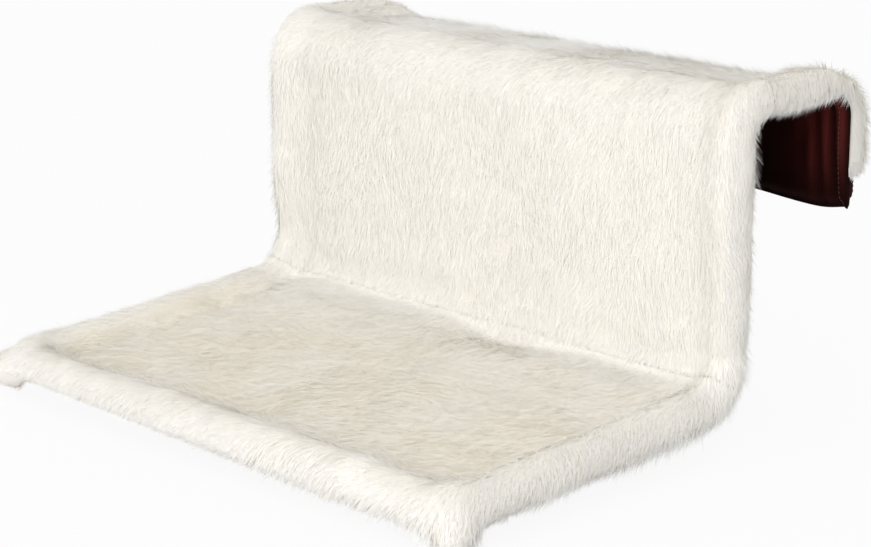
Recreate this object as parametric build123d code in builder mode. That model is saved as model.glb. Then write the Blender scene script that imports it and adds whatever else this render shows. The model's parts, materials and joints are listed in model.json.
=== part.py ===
from build123d import *

import os
from math import cos, radians, sin, sqrt, tan

# A cat hammock that hangs on a radiator: a bent steel tube frame inside a plush cover.
#
# Sizes are in millimetres. The origin is the middle of the seat, the flat underside of the
# cover that lies on top of the radiator. X runs across the bed, Y towards the wall and Z up,
# so the bed is at negative Y and negative Z. In a cross section "out" is measured from the
# tubes' centre lines towards the pile of the plush, and the lining lies on the other side.

# The lie of the frame, on the centre lines of its tubes
tube_span = 440.0
back_height = 200.0
bed_depth = 262.0
bed_droop = 3.15  # degrees that the bed falls towards its front
hook_drop = 77.0
arch_bend = 25.0
fold_bend = 38.0
bow_bend = 22.0
hook_bend = 25.0
cross_height = 95.0  # of the cross tube above the fold

# Tubes
tube_diameter = 12.0
tube_wall = 1.0
fit_clearance = 0.05
slide_clearance = 0.1
hook_travel_in = 25.0
hook_travel_out = 5.0
hook_overlap = 21.0  # of the hook in each side tube as it stands
mouth_clearance = 1.5  # from a side tube's mouth to the hook's plush when the hook is right in
bow_arm_length = 90.0  # from the front tube back to its joint with a side tube
spigot_length = 60.0

# The plastic bush in the mouth of each side tube, and the glide on each end of the hook
bush_wall = 0.6
bush_length = 8.0
bush_lip = 1.5
glide_length = 4.0
glide_stem = 8.0
glide_spare = 1.0  # from the glide to the bend when the hook is right in

# The screw that locks each leg of the hook
lock_setback = 12.0
lock_thread = 4.0
lock_nut_size = 8.0
lock_nut_height = 3.0
lock_head_diameter = 10.0
lock_head_height = 4.0
lock_gap = 0.5
lock_slot_width = 1.2
lock_slot_depth = 1.5
knurl_count = 16
knurl_radius = 0.5
thread_clearance = 0.25

# The screws and plugs that hold the cross tube
cross_thread = 5.0
cross_head_diameter = 9.0
cross_head_height = 2.8
cross_screw_grip = 18.0
cross_socket = 3.0
cross_socket_depth = 1.6
plug_length = 24.0
plug_setback = 1.0

# Cloth
lining = 1.5
cloth_clearance = 0.3
roll_radius = 18.0
hook_roll_radius = 13.0
hem_roll_radius = 10.0
wadding = 4.0
wadding_inset = 6.0
bed_edge = 2.0  # how far out the bed's plush is beside its rolls
bed_crown_height = 4.0
bed_crown_shares = (0.15, 0.6, 0.9, 1.0, 0.95, 0.7)
back_edge = 8.0
back_crown_height = 3.0
hook_edge = 8.5
hook_crown_height = 1.5
hem_edge = 6.5
hem_crown_height = 0.5
hem_height = 9.0  # of the plush's end above the hook's cross run
hem_round = 6.0
crown_run = 70.0  # in which a panel rises from its sides to its full crown
seam_round = 3.0  # where a panel draws in beside a roll
seam_leg = 2.0  # from the seams over the radiator to the bends
panel_corner = 8.0
lining_reach = 12.0  # of the lining past the side tubes
lining_on_bed = 80.0  # how far the back's lining runs under the bed
sleeve_leg = 12.0  # of the front sleeve past its bends
window_width = 12.0  # of the slots in the lining, to reach the lock screws
window_margin = 1.5  # round a screw's head with the hook right in or right out

# The zip under the bed, where the frame goes in
zip_distance = 58.0  # from the fold
zip_setback = 40.0  # from the side tubes to the ends of the teeth
tape_width = 12.0
tape_thickness = 0.8
tape_gap = 1.0
tape_tail = 8.0
coil_width = 2.0
coil_height = 1.8
coil_pitch = 4.0
coil_notch = 1.2
coil_notch_depth = 0.5
stop_length = 3.0
slider_length = 11.0
slider_wall = 1.2
slider_clearance = 0.3
slider_round = 1.5
slider_post_length = 3.0
slider_post_clearance = 0.2
slot_clearance = 1.0
bail_width = 3.0
bail_thickness = 1.0
bail_reach = 8.0
pull_length = 20.0
pull_width = 6.0
pull_bar_radius = 0.7
pull_clearance = 0.2
pull_eye_length = 6.0
pull_round = 1.5

# What follows from these sizes
tube_radius = tube_diameter / 2
bore_radius = tube_radius - tube_wall
hook_radius = bore_radius - bush_wall - slide_clearance
hook_bore_radius = hook_radius - tube_wall
tube_hole = tube_radius + cloth_clearance
hook_hole = hook_radius + cloth_clearance
lining_top = -tube_hole
lining_middle = lining_top - lining / 2
lining_bottom = lining_top - lining
plush_bottom = lining_top + cloth_clearance
wadding_top = plush_bottom + wadding
side_x = tube_span / 2
zip_length = tube_span - 2 * zip_setback
arch_span = (
    2 * arch_bend
    + 2 * hook_travel_in
    + hook_overlap
    + glide_length
    + glide_spare
    + bush_lip
    + mouth_clearance
    + seam_leg
)
panel_x = side_x - roll_radius - cloth_clearance
lining_x = side_x + lining_reach
arch_z = -lining_bottom
fold_z = arch_z - back_height
hook_z = arch_z - hook_drop
hem_z = hook_z + hem_height
back_y = -arch_span / 2
hook_y = arch_span / 2
front_bend_y = back_y + arch_bend
rear_bend_y = hook_y - arch_bend
back_seam_y = front_bend_y + seam_leg
hook_seam_y = rear_bend_y - seam_leg
tip_y = front_bend_y + glide_spare + hook_travel_in + glide_length
mouth_y = tip_y + hook_overlap
lock_y = mouth_y - lock_setback
cross_z = fold_z + cross_height
cover_run = hook_seam_y - back_seam_y
window_reach = lock_head_diameter / 2 + window_margin
window_front = back_seam_y + (lock_y - window_reach - back_seam_y) * cover_run / (
    cover_run + hook_travel_out
)
window_rear = back_seam_y + (lock_y + window_reach - back_seam_y) * cover_run / (
    cover_run - hook_travel_in
)
window_inner_x = side_x - tube_radius - lock_nut_height - window_width
droop = radians(bed_droop)
fold_run = fold_bend * tan((radians(90) - droop) / 2)
tube_joint = bed_depth - bow_arm_length
sleeve_start = fold_run + cloth_clearance
sleeve_end = bed_depth - bow_bend - sleeve_leg
bed_front = bed_depth - roll_radius - cloth_clearance
bed_plane = Plane(origin=(0, back_y, fold_z), x_dir=(1, 0, 0), z_dir=(0, -sin(droop), cos(droop)))
bed_forward = -bed_plane.y_dir
fold_plane = Plane(
    origin=bed_plane.origin, x_dir=(1, 0, 0), z_dir=bed_forward - Vector(0, 0, 1)
)
coil_top = lining_bottom - tape_thickness
coil_bottom = coil_top - coil_height
slider_half = tape_gap / 2 + coil_width + slider_clearance + slider_wall
slider_face = coil_bottom - slider_clearance - slider_wall
slider_x = -zip_length / 2 + slider_length / 2 + slider_clearance
pull_pin_out = slider_face - pull_bar_radius - pull_clearance
bail_top = pull_pin_out - pull_bar_radius - pull_clearance


def bed_point(x, distance, out=0.0):
    """A point of the bed: across, forward from the fold, and out from the tubes."""
    return bed_plane.from_local_coords(Vector(x, -distance, out))


def fold_corner(out):
    """Where a layer of the back, drawn on without its bend, meets the same layer of the bed."""
    return bed_point(0, out * (1 - sin(droop)) / cos(droop), out)


def section_across(distance):
    """A plane square to the bed, with its Y axis out, at a distance from the fold."""
    return Plane(origin=bed_point(0, distance), x_dir=(1, 0, 0), z_dir=bed_forward)


def save(part, name):
    part.label = name
    export_step(part, f"parts/{name}.step")


def ring_section(outer, inner=0.0):
    with BuildSketch() as section:
        Circle(outer)
        if inner:
            Circle(inner, mode=Mode.SUBTRACT)
    return section.sketch


def roll_section(radius):
    """Plush round a tube, cut flat where the lining closes it."""
    with BuildSketch() as section:
        Circle(radius)
        Circle(tube_hole, mode=Mode.SUBTRACT)
        with Locations((0, plush_bottom)):
            Rectangle(2 * radius, radius, align=(Align.CENTER, Align.MAX), mode=Mode.SUBTRACT)
    return section.sketch


def panel_section(bottom, edge, crown):
    """A padded panel between two rolls, drawn in at its sides and highest in the middle."""
    flat_x = panel_x - crown_run
    with BuildSketch() as section:
        with BuildLine():
            Polyline(
                (-panel_x, bottom),
                (panel_x, bottom),
                (panel_x, edge),
                (flat_x, edge + crown),
                (-flat_x, edge + crown),
                (-panel_x, edge),
                close=True,
            )
        make_face()
        fillet(section.vertices().filter_by(lambda corner: abs(corner.Y - edge) < lining / 2), seam_round)
    return section.sketch


def cover_section(radius, edge, crown):
    """Two rolls and the panel between them, in one."""
    foot_x = side_x + sqrt(radius**2 - plush_bottom**2)
    shoulder_x = side_x - sqrt(radius**2 - edge**2)
    flat_x = shoulder_x - crown_run
    with BuildSketch() as section:
        with BuildLine():
            Line((-foot_x, plush_bottom), (foot_x, plush_bottom))
            ThreePointArc((foot_x, plush_bottom), (side_x, radius), (shoulder_x, edge))
            Polyline(
                (shoulder_x, edge),
                (flat_x, edge + crown),
                (-flat_x, edge + crown),
                (-shoulder_x, edge),
            )
            ThreePointArc((-shoulder_x, edge), (-side_x, radius), (-foot_x, plush_bottom))
        make_face()
    return section.sketch


def strip_section(half_width, bottom, top):
    with BuildSketch() as section:
        with Locations((0, bottom)):
            Rectangle(2 * half_width, top - bottom, align=(Align.CENTER, Align.MIN))
    return section.sketch


def swept(section, points, radii=()):
    """A cross section carried along straight runs joined by bends."""
    with BuildPart() as piece:
        with BuildLine() as route:
            if radii:
                FilletPolyline(*points, radius=list(radii))
            else:
                Line(*points)
        with BuildSketch(Plane(origin=route.line @ 0, x_dir=(1, 0, 0), z_dir=route.line % 0)):
            add(section)
        sweep(path=route.line)
    return piece.part


def rod(x_from, x_to, y, z, radius):
    """A round bar parallel to X, used as it is or to cut with."""
    with BuildPart() as bar:
        with BuildSketch(Plane.YZ.offset(x_from)):
            with Locations((y, z)):
                Circle(radius)
        extrude(amount=x_to - x_from)
    return bar.part


def over_back(x, end):
    """From over the radiator down the back and out along the bed."""
    return [
        (x, back_seam_y, arch_z),
        (x, back_y, arch_z),
        (x, back_y, fold_z),
        bed_point(x, end),
    ]


def round_front(start):
    """Out along one side of the bed, across its front and back along the other side."""
    return [
        bed_point(-side_x, start),
        bed_point(-side_x, bed_depth),
        bed_point(side_x, bed_depth),
        bed_point(side_x, start),
    ]


def round_hook():
    return [
        (-side_x, tip_y, arch_z),
        (-side_x, hook_y, arch_z),
        (-side_x, hook_y, hook_z),
        (side_x, hook_y, hook_z),
        (side_x, hook_y, arch_z),
        (side_x, tip_y, arch_z),
    ]


def make_side_tube(side):
    x = side * side_x
    run = [(x, mouth_y, arch_z)] + over_back(x, tube_joint)[1:]
    tube_run = swept(ring_section(tube_radius, bore_radius), run, (arch_bend, fold_bend))
    cross_hole_radius = cross_thread / 2 + thread_clearance
    cross_hole = rod(x - roll_radius, x + roll_radius, back_y, cross_z, cross_hole_radius)
    lock_hole = rod(x, x - side * roll_radius, lock_y, arch_z, lock_thread / 2 + thread_clearance)
    with BuildPart() as tube:
        add(tube_run)
        add(cross_hole, mode=Mode.SUBTRACT)
        add(lock_hole, mode=Mode.SUBTRACT)
    return tube.part


def make_slide_bush(side):
    """A thin liner pressed into the mouth of a side tube, with a lip over its end."""
    with BuildPart() as bush:
        with BuildSketch(Plane.XZ.offset(-mouth_y)):
            with Locations((side * side_x, arch_z)):
                Circle(bore_radius - fit_clearance)
                Circle(hook_radius + slide_clearance, mode=Mode.SUBTRACT)
        extrude(amount=bush_length)
        with BuildSketch(Plane.XZ.offset(-mouth_y)):
            with Locations((side * side_x, arch_z)):
                Circle(tube_radius)
                Circle(hook_radius + slide_clearance, mode=Mode.SUBTRACT)
        extrude(amount=-bush_lip)
    return bush.part


def make_front_bow():
    return swept(ring_section(tube_radius, bore_radius), round_front(tube_joint), (bow_bend, bow_bend))


def make_spigot(side):
    """A sleeve inside the joint between a side tube and the front bow."""
    x = side * side_x
    ends = [
        bed_point(x, tube_joint - spigot_length / 2),
        bed_point(x, tube_joint + spigot_length / 2),
    ]
    outer = bore_radius - fit_clearance
    return swept(ring_section(outer, outer - tube_wall), ends)


def make_hook_bow():
    bends = (arch_bend, hook_bend, hook_bend, arch_bend)
    return swept(ring_section(hook_radius, hook_bore_radius), round_hook(), bends)


def make_hook_glides():
    """A plastic plug on each end of the hook, running in the bore of the side tube."""
    with BuildPart() as glides:
        with BuildSketch(Plane.XZ.offset(-tip_y)):
            with Locations((side_x, arch_z)):
                Circle(bore_radius - slide_clearance)
        extrude(amount=glide_length)
        with BuildSketch(Plane.XZ.offset(-tip_y)):
            with Locations((side_x, arch_z)):
                Circle(hook_bore_radius - fit_clearance)
        extrude(amount=-glide_stem)
        mirror(about=Plane.YZ)
    return glides.part


def make_cross_tube():
    half = side_x - hook_radius
    with BuildPart() as tube:
        with BuildSketch(Plane.YZ.offset(-half)):
            with Locations((back_y, cross_z)):
                Circle(tube_radius)
                Circle(bore_radius, mode=Mode.SUBTRACT)
        extrude(amount=2 * half)
        # Each end is hollowed to the round of the side tube that it meets.
        with Locations((side_x, back_y, cross_z), (-side_x, back_y, cross_z)):
            Cylinder(tube_radius + fit_clearance, 2 * tube_diameter, mode=Mode.SUBTRACT)
    return tube.part


def make_cross_plugs():
    """Threaded plugs pressed into the ends of the cross tube."""
    outer_end = side_x - tube_radius - plug_setback
    with BuildPart() as plugs:
        with BuildSketch(Plane.YZ.offset(outer_end)):
            with Locations((back_y, cross_z)):
                Circle(bore_radius - fit_clearance)
                Circle(cross_thread / 2 + fit_clearance, mode=Mode.SUBTRACT)
        extrude(amount=-plug_length)
        mirror(about=Plane.YZ)
    return plugs.part


def make_cross_screws():
    """Round headed screws through the side tubes into the plugs."""
    seat_x = side_x + tube_radius
    thread_end = side_x - tube_radius - cross_screw_grip
    with BuildPart() as screws:
        with BuildSketch(Plane.YZ.offset(seat_x)):
            with Locations((back_y, cross_z)):
                Circle(cross_head_diameter / 2)
        extrude(amount=cross_head_height)
        fillet(screws.faces().sort_by(Axis.X)[-1].edges(), cross_head_height / 2)
        with BuildSketch(Plane.YZ.offset(seat_x + cross_head_height)):
            with Locations((back_y, cross_z)):
                RegularPolygon(cross_socket / 2, 6, major_radius=False)
        extrude(amount=-cross_socket_depth, mode=Mode.SUBTRACT)
        with BuildSketch(Plane.YZ.offset(seat_x)):
            with Locations((back_y, cross_z)):
                Circle(cross_thread / 2)
        extrude(amount=thread_end - seat_x)
        mirror(about=Plane.YZ)
    return screws.part


def make_lock_nuts():
    """Nuts brazed to the side tubes, for the lock screws."""
    seat_x = side_x - tube_radius
    with BuildPart() as nuts:
        with BuildSketch(Plane.YZ.offset(seat_x - lock_nut_height)):
            with Locations((lock_y, arch_z)):
                RegularPolygon(lock_nut_size / 2, 6, major_radius=False)
                Circle(lock_thread / 2 + fit_clearance, mode=Mode.SUBTRACT)
        extrude(amount=lock_nut_height + tube_radius)
        with BuildSketch(Plane.XZ.offset(-mouth_y)):
            with Locations((side_x, arch_z)):
                Circle(tube_radius + fit_clearance)
        extrude(amount=2 * lock_setback, mode=Mode.SUBTRACT)
        mirror(about=Plane.YZ)
    return nuts.part


def make_lock_screw(side):
    """A knurled screw whose tip bears on a leg of the hook."""
    head_x = side_x - tube_radius - lock_nut_height - lock_gap
    tip_x = side_x - hook_radius - fit_clearance
    with BuildPart() as screw:
        with BuildSketch(Plane.YZ.offset(head_x)):
            with Locations((lock_y, arch_z)):
                Circle(lock_head_diameter / 2)
                with PolarLocations(lock_head_diameter / 2, knurl_count):
                    Circle(knurl_radius, mode=Mode.SUBTRACT)
        extrude(amount=-lock_head_height)
        with BuildSketch(Plane.YZ.offset(head_x - lock_head_height)):
            with Locations((lock_y, arch_z)):
                Rectangle(lock_slot_width, 2 * lock_head_diameter)
        extrude(amount=lock_slot_depth, mode=Mode.SUBTRACT)
        with BuildSketch(Plane.YZ.offset(head_x)):
            with Locations((lock_y, arch_z)):
                Circle(lock_thread / 2)
        extrude(amount=tip_x - head_x)
    return screw.part if side > 0 else mirror(screw.part, about=Plane.YZ)


def make_back_sleeve(side):
    """Plush round a side tube, down the back and round the fold."""
    x = side * side_x
    roll = swept(roll_section(roll_radius), over_back(x, sleeve_start), (arch_bend, fold_bend))
    head_end = x + side * (tube_radius + cross_head_height + cloth_clearance)
    head_pocket = rod(x, head_end, back_y, cross_z, cross_head_diameter / 2 + cloth_clearance)
    cross_hole = rod(0, x, back_y, cross_z, tube_hole)
    with BuildPart() as sleeve:
        add(roll)
        add(head_pocket, mode=Mode.SUBTRACT)
        add(cross_hole, mode=Mode.SUBTRACT)
    return sleeve.part


def make_bed_sleeve(side):
    x = side * side_x
    ends = [bed_point(x, sleeve_start + cloth_clearance), bed_point(x, sleeve_end)]
    return swept(roll_section(roll_radius), ends)


def make_front_sleeve():
    """Plush round the front tube and its two corners."""
    route = round_front(sleeve_end + cloth_clearance)
    return swept(roll_section(roll_radius), route, (bow_bend, bow_bend))


def make_back_panel():
    """The plush between the side tubes, from over the radiator down to the fold."""
    section = panel_section(plush_bottom, back_edge, back_crown_height)
    layer = swept(section, over_back(0, lining_on_bed), (arch_bend, fold_bend))
    cross_hole = rod(-side_x, side_x, back_y, cross_z, tube_hole)
    with BuildPart() as panel:
        add(layer)
        add(cross_hole, mode=Mode.SUBTRACT)
        split(bisect_by=fold_plane.offset(-cloth_clearance), keep=Keep.BOTTOM)
    return panel.part


def make_bed_panel():
    """The plush that the cat lies on, drawn in beside the rolls and crowned between them."""
    last = len(bed_crown_shares) - 1
    rear = fold_run + seam_leg
    section = panel_section(plush_bottom, bed_edge, bed_crown_shares[0] * bed_crown_height)
    turn = swept(section, over_back(0, rear), (arch_bend, fold_bend))
    with BuildPart() as outline:
        with BuildSketch(bed_plane.offset(lining_bottom)) as face:
            with Locations((0, fold_bend)):
                Rectangle(2 * panel_x, bed_front + fold_bend, align=(Align.CENTER, Align.MAX))
            fillet(face.vertices().group_by(Axis.Y)[0], panel_corner)
        extrude(amount=2 * fold_bend)
    with BuildPart() as panel:
        add(turn)
        split(bisect_by=fold_plane, keep=Keep.TOP)
        for step, share in enumerate(bed_crown_shares):
            distance = rear + (bed_front - rear) * step / last
            with BuildSketch(section_across(distance)):
                add(panel_section(wadding_top + cloth_clearance, bed_edge, share * bed_crown_height))
        loft(ruled=True)
        add(outline.part, mode=Mode.INTERSECT)
    return panel.part


def make_bed_wadding():
    rear = fold_run + wadding_inset
    front = bed_front - wadding_inset
    with BuildPart() as pad:
        with BuildSketch(bed_plane.offset(plush_bottom)):
            with Locations((0, -(rear + front) / 2)):
                RectangleRounded(2 * (panel_x - wadding_inset), front - rear, panel_corner)
        extrude(amount=wadding)
    return pad.part


def make_bed_lining():
    """The flat cloth under the front of the bed."""
    rear = lining_on_bed + cloth_clearance
    front = bed_depth + lining_reach
    with BuildPart() as sheet:
        with BuildSketch(bed_plane.offset(lining_bottom)) as outline:
            with Locations((0, -(rear + front) / 2)):
                Rectangle(2 * lining_x, front - rear)
            fillet(outline.vertices().group_by(Axis.Y)[0], bow_bend + lining_reach)
        extrude(amount=lining)
    return sheet.part


def make_back_lining():
    """The cloth against the radiator, down its face and round under the fold to the zip."""
    route = [
        (0, back_seam_y, arch_z + lining_middle),
        (0, back_y - lining_middle, arch_z + lining_middle),
        fold_corner(lining_middle),
        bed_point(0, lining_on_bed, lining_middle),
    ]
    bends = (arch_bend + lining_middle, fold_bend - lining_middle)
    cloth = swept(strip_section(lining_x, -lining / 2, lining / 2), route, bends)
    with BuildPart() as sheet:
        add(cloth)
        with BuildSketch(bed_plane.offset(lining_bottom)):
            with Locations((0, -zip_distance)):
                Rectangle(zip_length + 2 * slot_clearance, 2 * (slider_half + slot_clearance))
        extrude(amount=lining, mode=Mode.SUBTRACT)
    return sheet.part


def make_arch_plush():
    """The plush over the top of the radiator, which gathers as the hook slides in."""
    front = back_seam_y + cloth_clearance
    rear = hook_seam_y - cloth_clearance
    lip_y = mouth_y + bush_lip + cloth_clearance
    pocket_x = (window_inner_x + side_x) / 2
    pocket_y = (window_front + window_rear) / 2
    pocket_height = lock_head_diameter / 2 + cloth_clearance - plush_bottom
    with BuildPart() as plush:
        with BuildSketch(Plane.XZ.offset(-front)):
            add(cover_section(roll_radius, back_edge, back_crown_height).moved(Location((0, arch_z))))
        with BuildSketch(Plane.XZ.offset(-rear)):
            add(cover_section(hook_roll_radius, hook_edge, hook_crown_height).moved(Location((0, arch_z))))
        loft()
        with BuildSketch(Plane.XZ.offset(-front)):
            with Locations((side_x, arch_z), (-side_x, arch_z)):
                Circle(tube_hole)
        extrude(amount=front - lip_y, mode=Mode.SUBTRACT)
        with BuildSketch(Plane.XZ.offset(-front)):
            with Locations((side_x, arch_z), (-side_x, arch_z)):
                Circle(hook_hole)
        extrude(amount=front - rear, mode=Mode.SUBTRACT)
        # A pocket over each slot in the lining, for the lock screw and its nut.
        with BuildSketch(Plane.XY.offset(arch_z + plush_bottom)):
            with Locations((pocket_x, pocket_y), (-pocket_x, pocket_y)):
                Rectangle(side_x - window_inner_x, window_rear - window_front)
        extrude(amount=pocket_height, mode=Mode.SUBTRACT)
    return plush.part


def make_arch_lining():
    """The cloth on top of the radiator, with a slot below each lock screw."""
    front = back_seam_y + cloth_clearance
    rear = hook_seam_y - cloth_clearance
    window_x = window_inner_x + window_width / 2
    window_y = (window_front + window_rear) / 2
    with BuildPart() as sheet:
        with BuildSketch(Plane.XY):
            with Locations((0, (front + rear) / 2)):
                Rectangle(2 * lining_x, rear - front)
            with Locations((window_x, window_y), (-window_x, window_y)):
                Rectangle(window_width, window_rear - window_front, mode=Mode.SUBTRACT)
        extrude(amount=lining)
    return sheet.part


def hook_outline(half_width, bottom, corner):
    """The leg of the hook seen from the wall, with its lower corners rounded."""
    top = arch_z + roll_radius
    with BuildPart() as outline:
        with BuildSketch(Plane.XZ.offset(-hook_y - roll_radius)) as face:
            with Locations((0, bottom)):
                Rectangle(2 * half_width, top - bottom, align=(Align.CENTER, Align.MIN))
            fillet(face.vertices().group_by(Axis.Y)[0], corner)
        extrude(amount=arch_span)
    return outline.part


def make_hook_plush():
    """The plush on the wall side of the hook, thinner towards its hem."""
    leg_top = arch_z - arch_bend - seam_leg
    upper = cover_section(hook_roll_radius, hook_edge, hook_crown_height)
    lower = cover_section(hem_roll_radius, hem_edge, hem_crown_height)
    bend = swept(
        upper,
        [(0, hook_y, leg_top), (0, hook_y, arch_z), (0, hook_seam_y, arch_z)],
        (arch_bend,),
    )
    hole = swept(
        ring_section(hook_hole), round_hook(), (arch_bend, hook_bend, hook_bend, arch_bend)
    )
    leg_foot = sqrt(hem_roll_radius**2 - plush_bottom**2)
    outline = hook_outline(
        side_x + hook_roll_radius, hook_z + plush_bottom, hook_bend - plush_bottom
    )
    with BuildPart() as plush:
        for section, z in ((upper, leg_top), (lower, hem_z)):
            with BuildSketch(Plane(origin=(0, hook_y, z), x_dir=(1, 0, 0), z_dir=(0, 0, 1))):
                add(section)
        loft()
        # Below its hem the plush is turned in between the two faces of the lining.
        with BuildSketch(Plane.YZ.offset(-side_x - leg_foot)):
            with Locations((hook_y, hook_z)):
                Circle(-plush_bottom)
                Rectangle(-2 * plush_bottom, hem_height, align=(Align.CENTER, Align.MIN))
        extrude(amount=2 * (side_x + leg_foot))
        add(outline, mode=Mode.INTERSECT)
        add(bend)
        add(hole, mode=Mode.SUBTRACT)
    return plush.part


def make_hook_lining():
    """The cloth on the radiator side of the hook, wrapped round its lower edge to the hem."""
    outer_y = hook_y - lining_middle
    inner_y = hook_y + lining_middle
    turn_z = hook_z + lining_middle
    route = [
        (0, outer_y, hem_z - cloth_clearance),
        (0, outer_y, turn_z),
        (0, inner_y, turn_z),
        (0, inner_y, arch_z + lining_middle),
        (0, hook_seam_y, arch_z + lining_middle),
    ]
    bends = (hem_round, hem_round, arch_bend + lining_middle)
    cloth = swept(strip_section(lining_x, -lining / 2, lining / 2), route, bends)
    outline = hook_outline(lining_x, hook_z + lining_bottom, hook_bend - lining_bottom)
    with BuildPart() as sheet:
        add(cloth)
        add(outline, mode=Mode.INTERSECT)
    return sheet.part


def make_zip_tapes():
    offset = tape_gap / 2 + tape_width / 2
    with BuildPart() as tapes:
        with BuildSketch(bed_plane.offset(coil_top)):
            with Locations((0, -zip_distance - offset), (0, -zip_distance + offset)):
                Rectangle(zip_length + 2 * tape_tail, tape_width)
        extrude(amount=tape_thickness)
    return tapes.part


def make_zip_coils():
    """Two rows of teeth, with the gap between them that the slider's post runs in."""
    rows = ((tape_gap / 2, coil_width), (-tape_gap / 2, -coil_width))
    with BuildPart() as coils:
        for offset, width in rows:
            with BuildSketch(section_across(zip_distance + offset)):
                with Locations((0, coil_top)):
                    Rectangle(zip_length, coil_height, align=(Align.CENTER, Align.MAX))
                with Locations((0, coil_bottom)):
                    with GridLocations(coil_pitch, 0, int(zip_length / coil_pitch) - 1, 1):
                        Rectangle(coil_notch, 2 * coil_notch_depth, mode=Mode.SUBTRACT)
            extrude(amount=width)
    return coils.part


def make_zip_stops():
    stop_x = zip_length / 2 + stop_length / 2
    with BuildPart() as stops:
        with BuildSketch(bed_plane.offset(coil_top)):
            with Locations((stop_x, -zip_distance), (-stop_x, -zip_distance)):
                Rectangle(stop_length, 2 * coil_width + tape_gap)
        extrude(amount=-coil_height)
    return stops.part


def make_zip_slider():
    """Two plates on a post, with sides that hold the teeth and a bail for the pull."""
    centre = (slider_x, -zip_distance)
    inner_face = lining_bottom + slider_clearance
    side_offset = slider_half - slider_wall / 2
    side_height = coil_height + slider_clearance
    post_x = slider_x - slider_length / 2 + slider_post_length
    bail_plane = Plane(
        origin=bed_point(slider_x, zip_distance - bail_width / 2), x_dir=(1, 0, 0), z_dir=bed_forward
    )
    with BuildPart() as slider:
        with BuildSketch(bed_plane.offset(slider_face)):
            with Locations(centre):
                RectangleRounded(slider_length, 2 * slider_half, slider_round)
        extrude(amount=slider_wall)
        with BuildSketch(bed_plane.offset(inner_face)):
            with Locations(centre):
                RectangleRounded(slider_length, 2 * slider_half, slider_round)
        extrude(amount=slider_wall)
        with BuildSketch(bed_plane.offset(slider_face + slider_wall)):
            with Locations(
                (slider_x, -zip_distance - side_offset), (slider_x, -zip_distance + side_offset)
            ):
                Rectangle(slider_length - 2 * slider_round, slider_wall)
        extrude(amount=side_height)
        with BuildSketch(bed_plane.offset(slider_face + slider_wall)):
            with Locations((post_x, -zip_distance)):
                Rectangle(slider_post_length, tape_gap - 2 * slider_post_clearance)
        extrude(amount=inner_face - slider_face - slider_wall)
        with BuildSketch(bail_plane):
            with Locations((0, slider_face)):
                Rectangle(
                    bail_reach, slider_face - bail_top + bail_thickness, align=(Align.CENTER, Align.MAX)
                )
                Rectangle(
                    bail_reach - 2 * bail_thickness,
                    slider_face - bail_top,
                    align=(Align.CENTER, Align.MAX),
                    mode=Mode.SUBTRACT,
                )
        extrude(amount=bail_width)
    return slider.part


def make_zip_pull():
    """A tab that swings on its top bar, which lies inside the slider's bail."""
    tab_plane = Plane(
        origin=bed_point(slider_x - pull_bar_radius, zip_distance),
        x_dir=bed_plane.y_dir,
        z_dir=(1, 0, 0),
    )
    bar_plane = Plane(
        origin=bed_point(slider_x, zip_distance - pull_width / 2, pull_pin_out),
        x_dir=(1, 0, 0),
        z_dir=bed_forward,
    )
    with BuildPart() as pull:
        with BuildSketch(tab_plane) as tab:
            with Locations((0, pull_pin_out)):
                Rectangle(pull_width, pull_length, align=(Align.CENTER, Align.MAX))
            fillet(tab.vertices().group_by(Axis.Y)[0], pull_round)
            with Locations((0, pull_pin_out)):
                Rectangle(
                    bail_width + 2 * pull_clearance,
                    pull_eye_length,
                    align=(Align.CENTER, Align.MAX),
                    mode=Mode.SUBTRACT,
                )
        extrude(amount=2 * pull_bar_radius)
        with BuildSketch(bar_plane):
            Circle(pull_bar_radius)
        extrude(amount=pull_width)
    return pull.part


def main():
    os.makedirs("parts", exist_ok=True)
    for side, word in ((-1, "left"), (1, "right")):
        save(make_side_tube(side), f"side_tube_{word}")
        save(make_slide_bush(side), f"slide_bush_{word}")
        save(make_spigot(side), f"joint_spigot_{word}")
        save(make_lock_screw(side), f"lock_screw_{word}")
        save(make_back_sleeve(side), f"back_sleeve_{word}")
        save(make_bed_sleeve(side), f"bed_sleeve_{word}")
    save(make_front_bow(), "front_bow")
    save(make_hook_bow(), "hook_bow")
    save(make_hook_glides(), "hook_glides")
    save(make_cross_tube(), "cross_tube")
    save(make_cross_plugs(), "cross_plugs")
    save(make_cross_screws(), "cross_screws")
    save(make_lock_nuts(), "lock_nuts")
    save(make_front_sleeve(), "front_sleeve")
    save(make_back_panel(), "back_panel")
    save(make_bed_panel(), "bed_panel")
    save(make_bed_wadding(), "bed_wadding")
    save(make_bed_lining(), "bed_lining")
    save(make_back_lining(), "back_lining")
    save(make_arch_plush(), "arch_plush")
    save(make_arch_lining(), "arch_lining")
    save(make_hook_plush(), "hook_plush")
    save(make_hook_lining(), "hook_lining")
    save(make_zip_tapes(), "zip_tapes")
    save(make_zip_coils(), "zip_coils")
    save(make_zip_stops(), "zip_stops")
    save(make_zip_slider(), "zip_slider")
    save(make_zip_pull(), "zip_pull")


main()
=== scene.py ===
import json
import math

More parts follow.
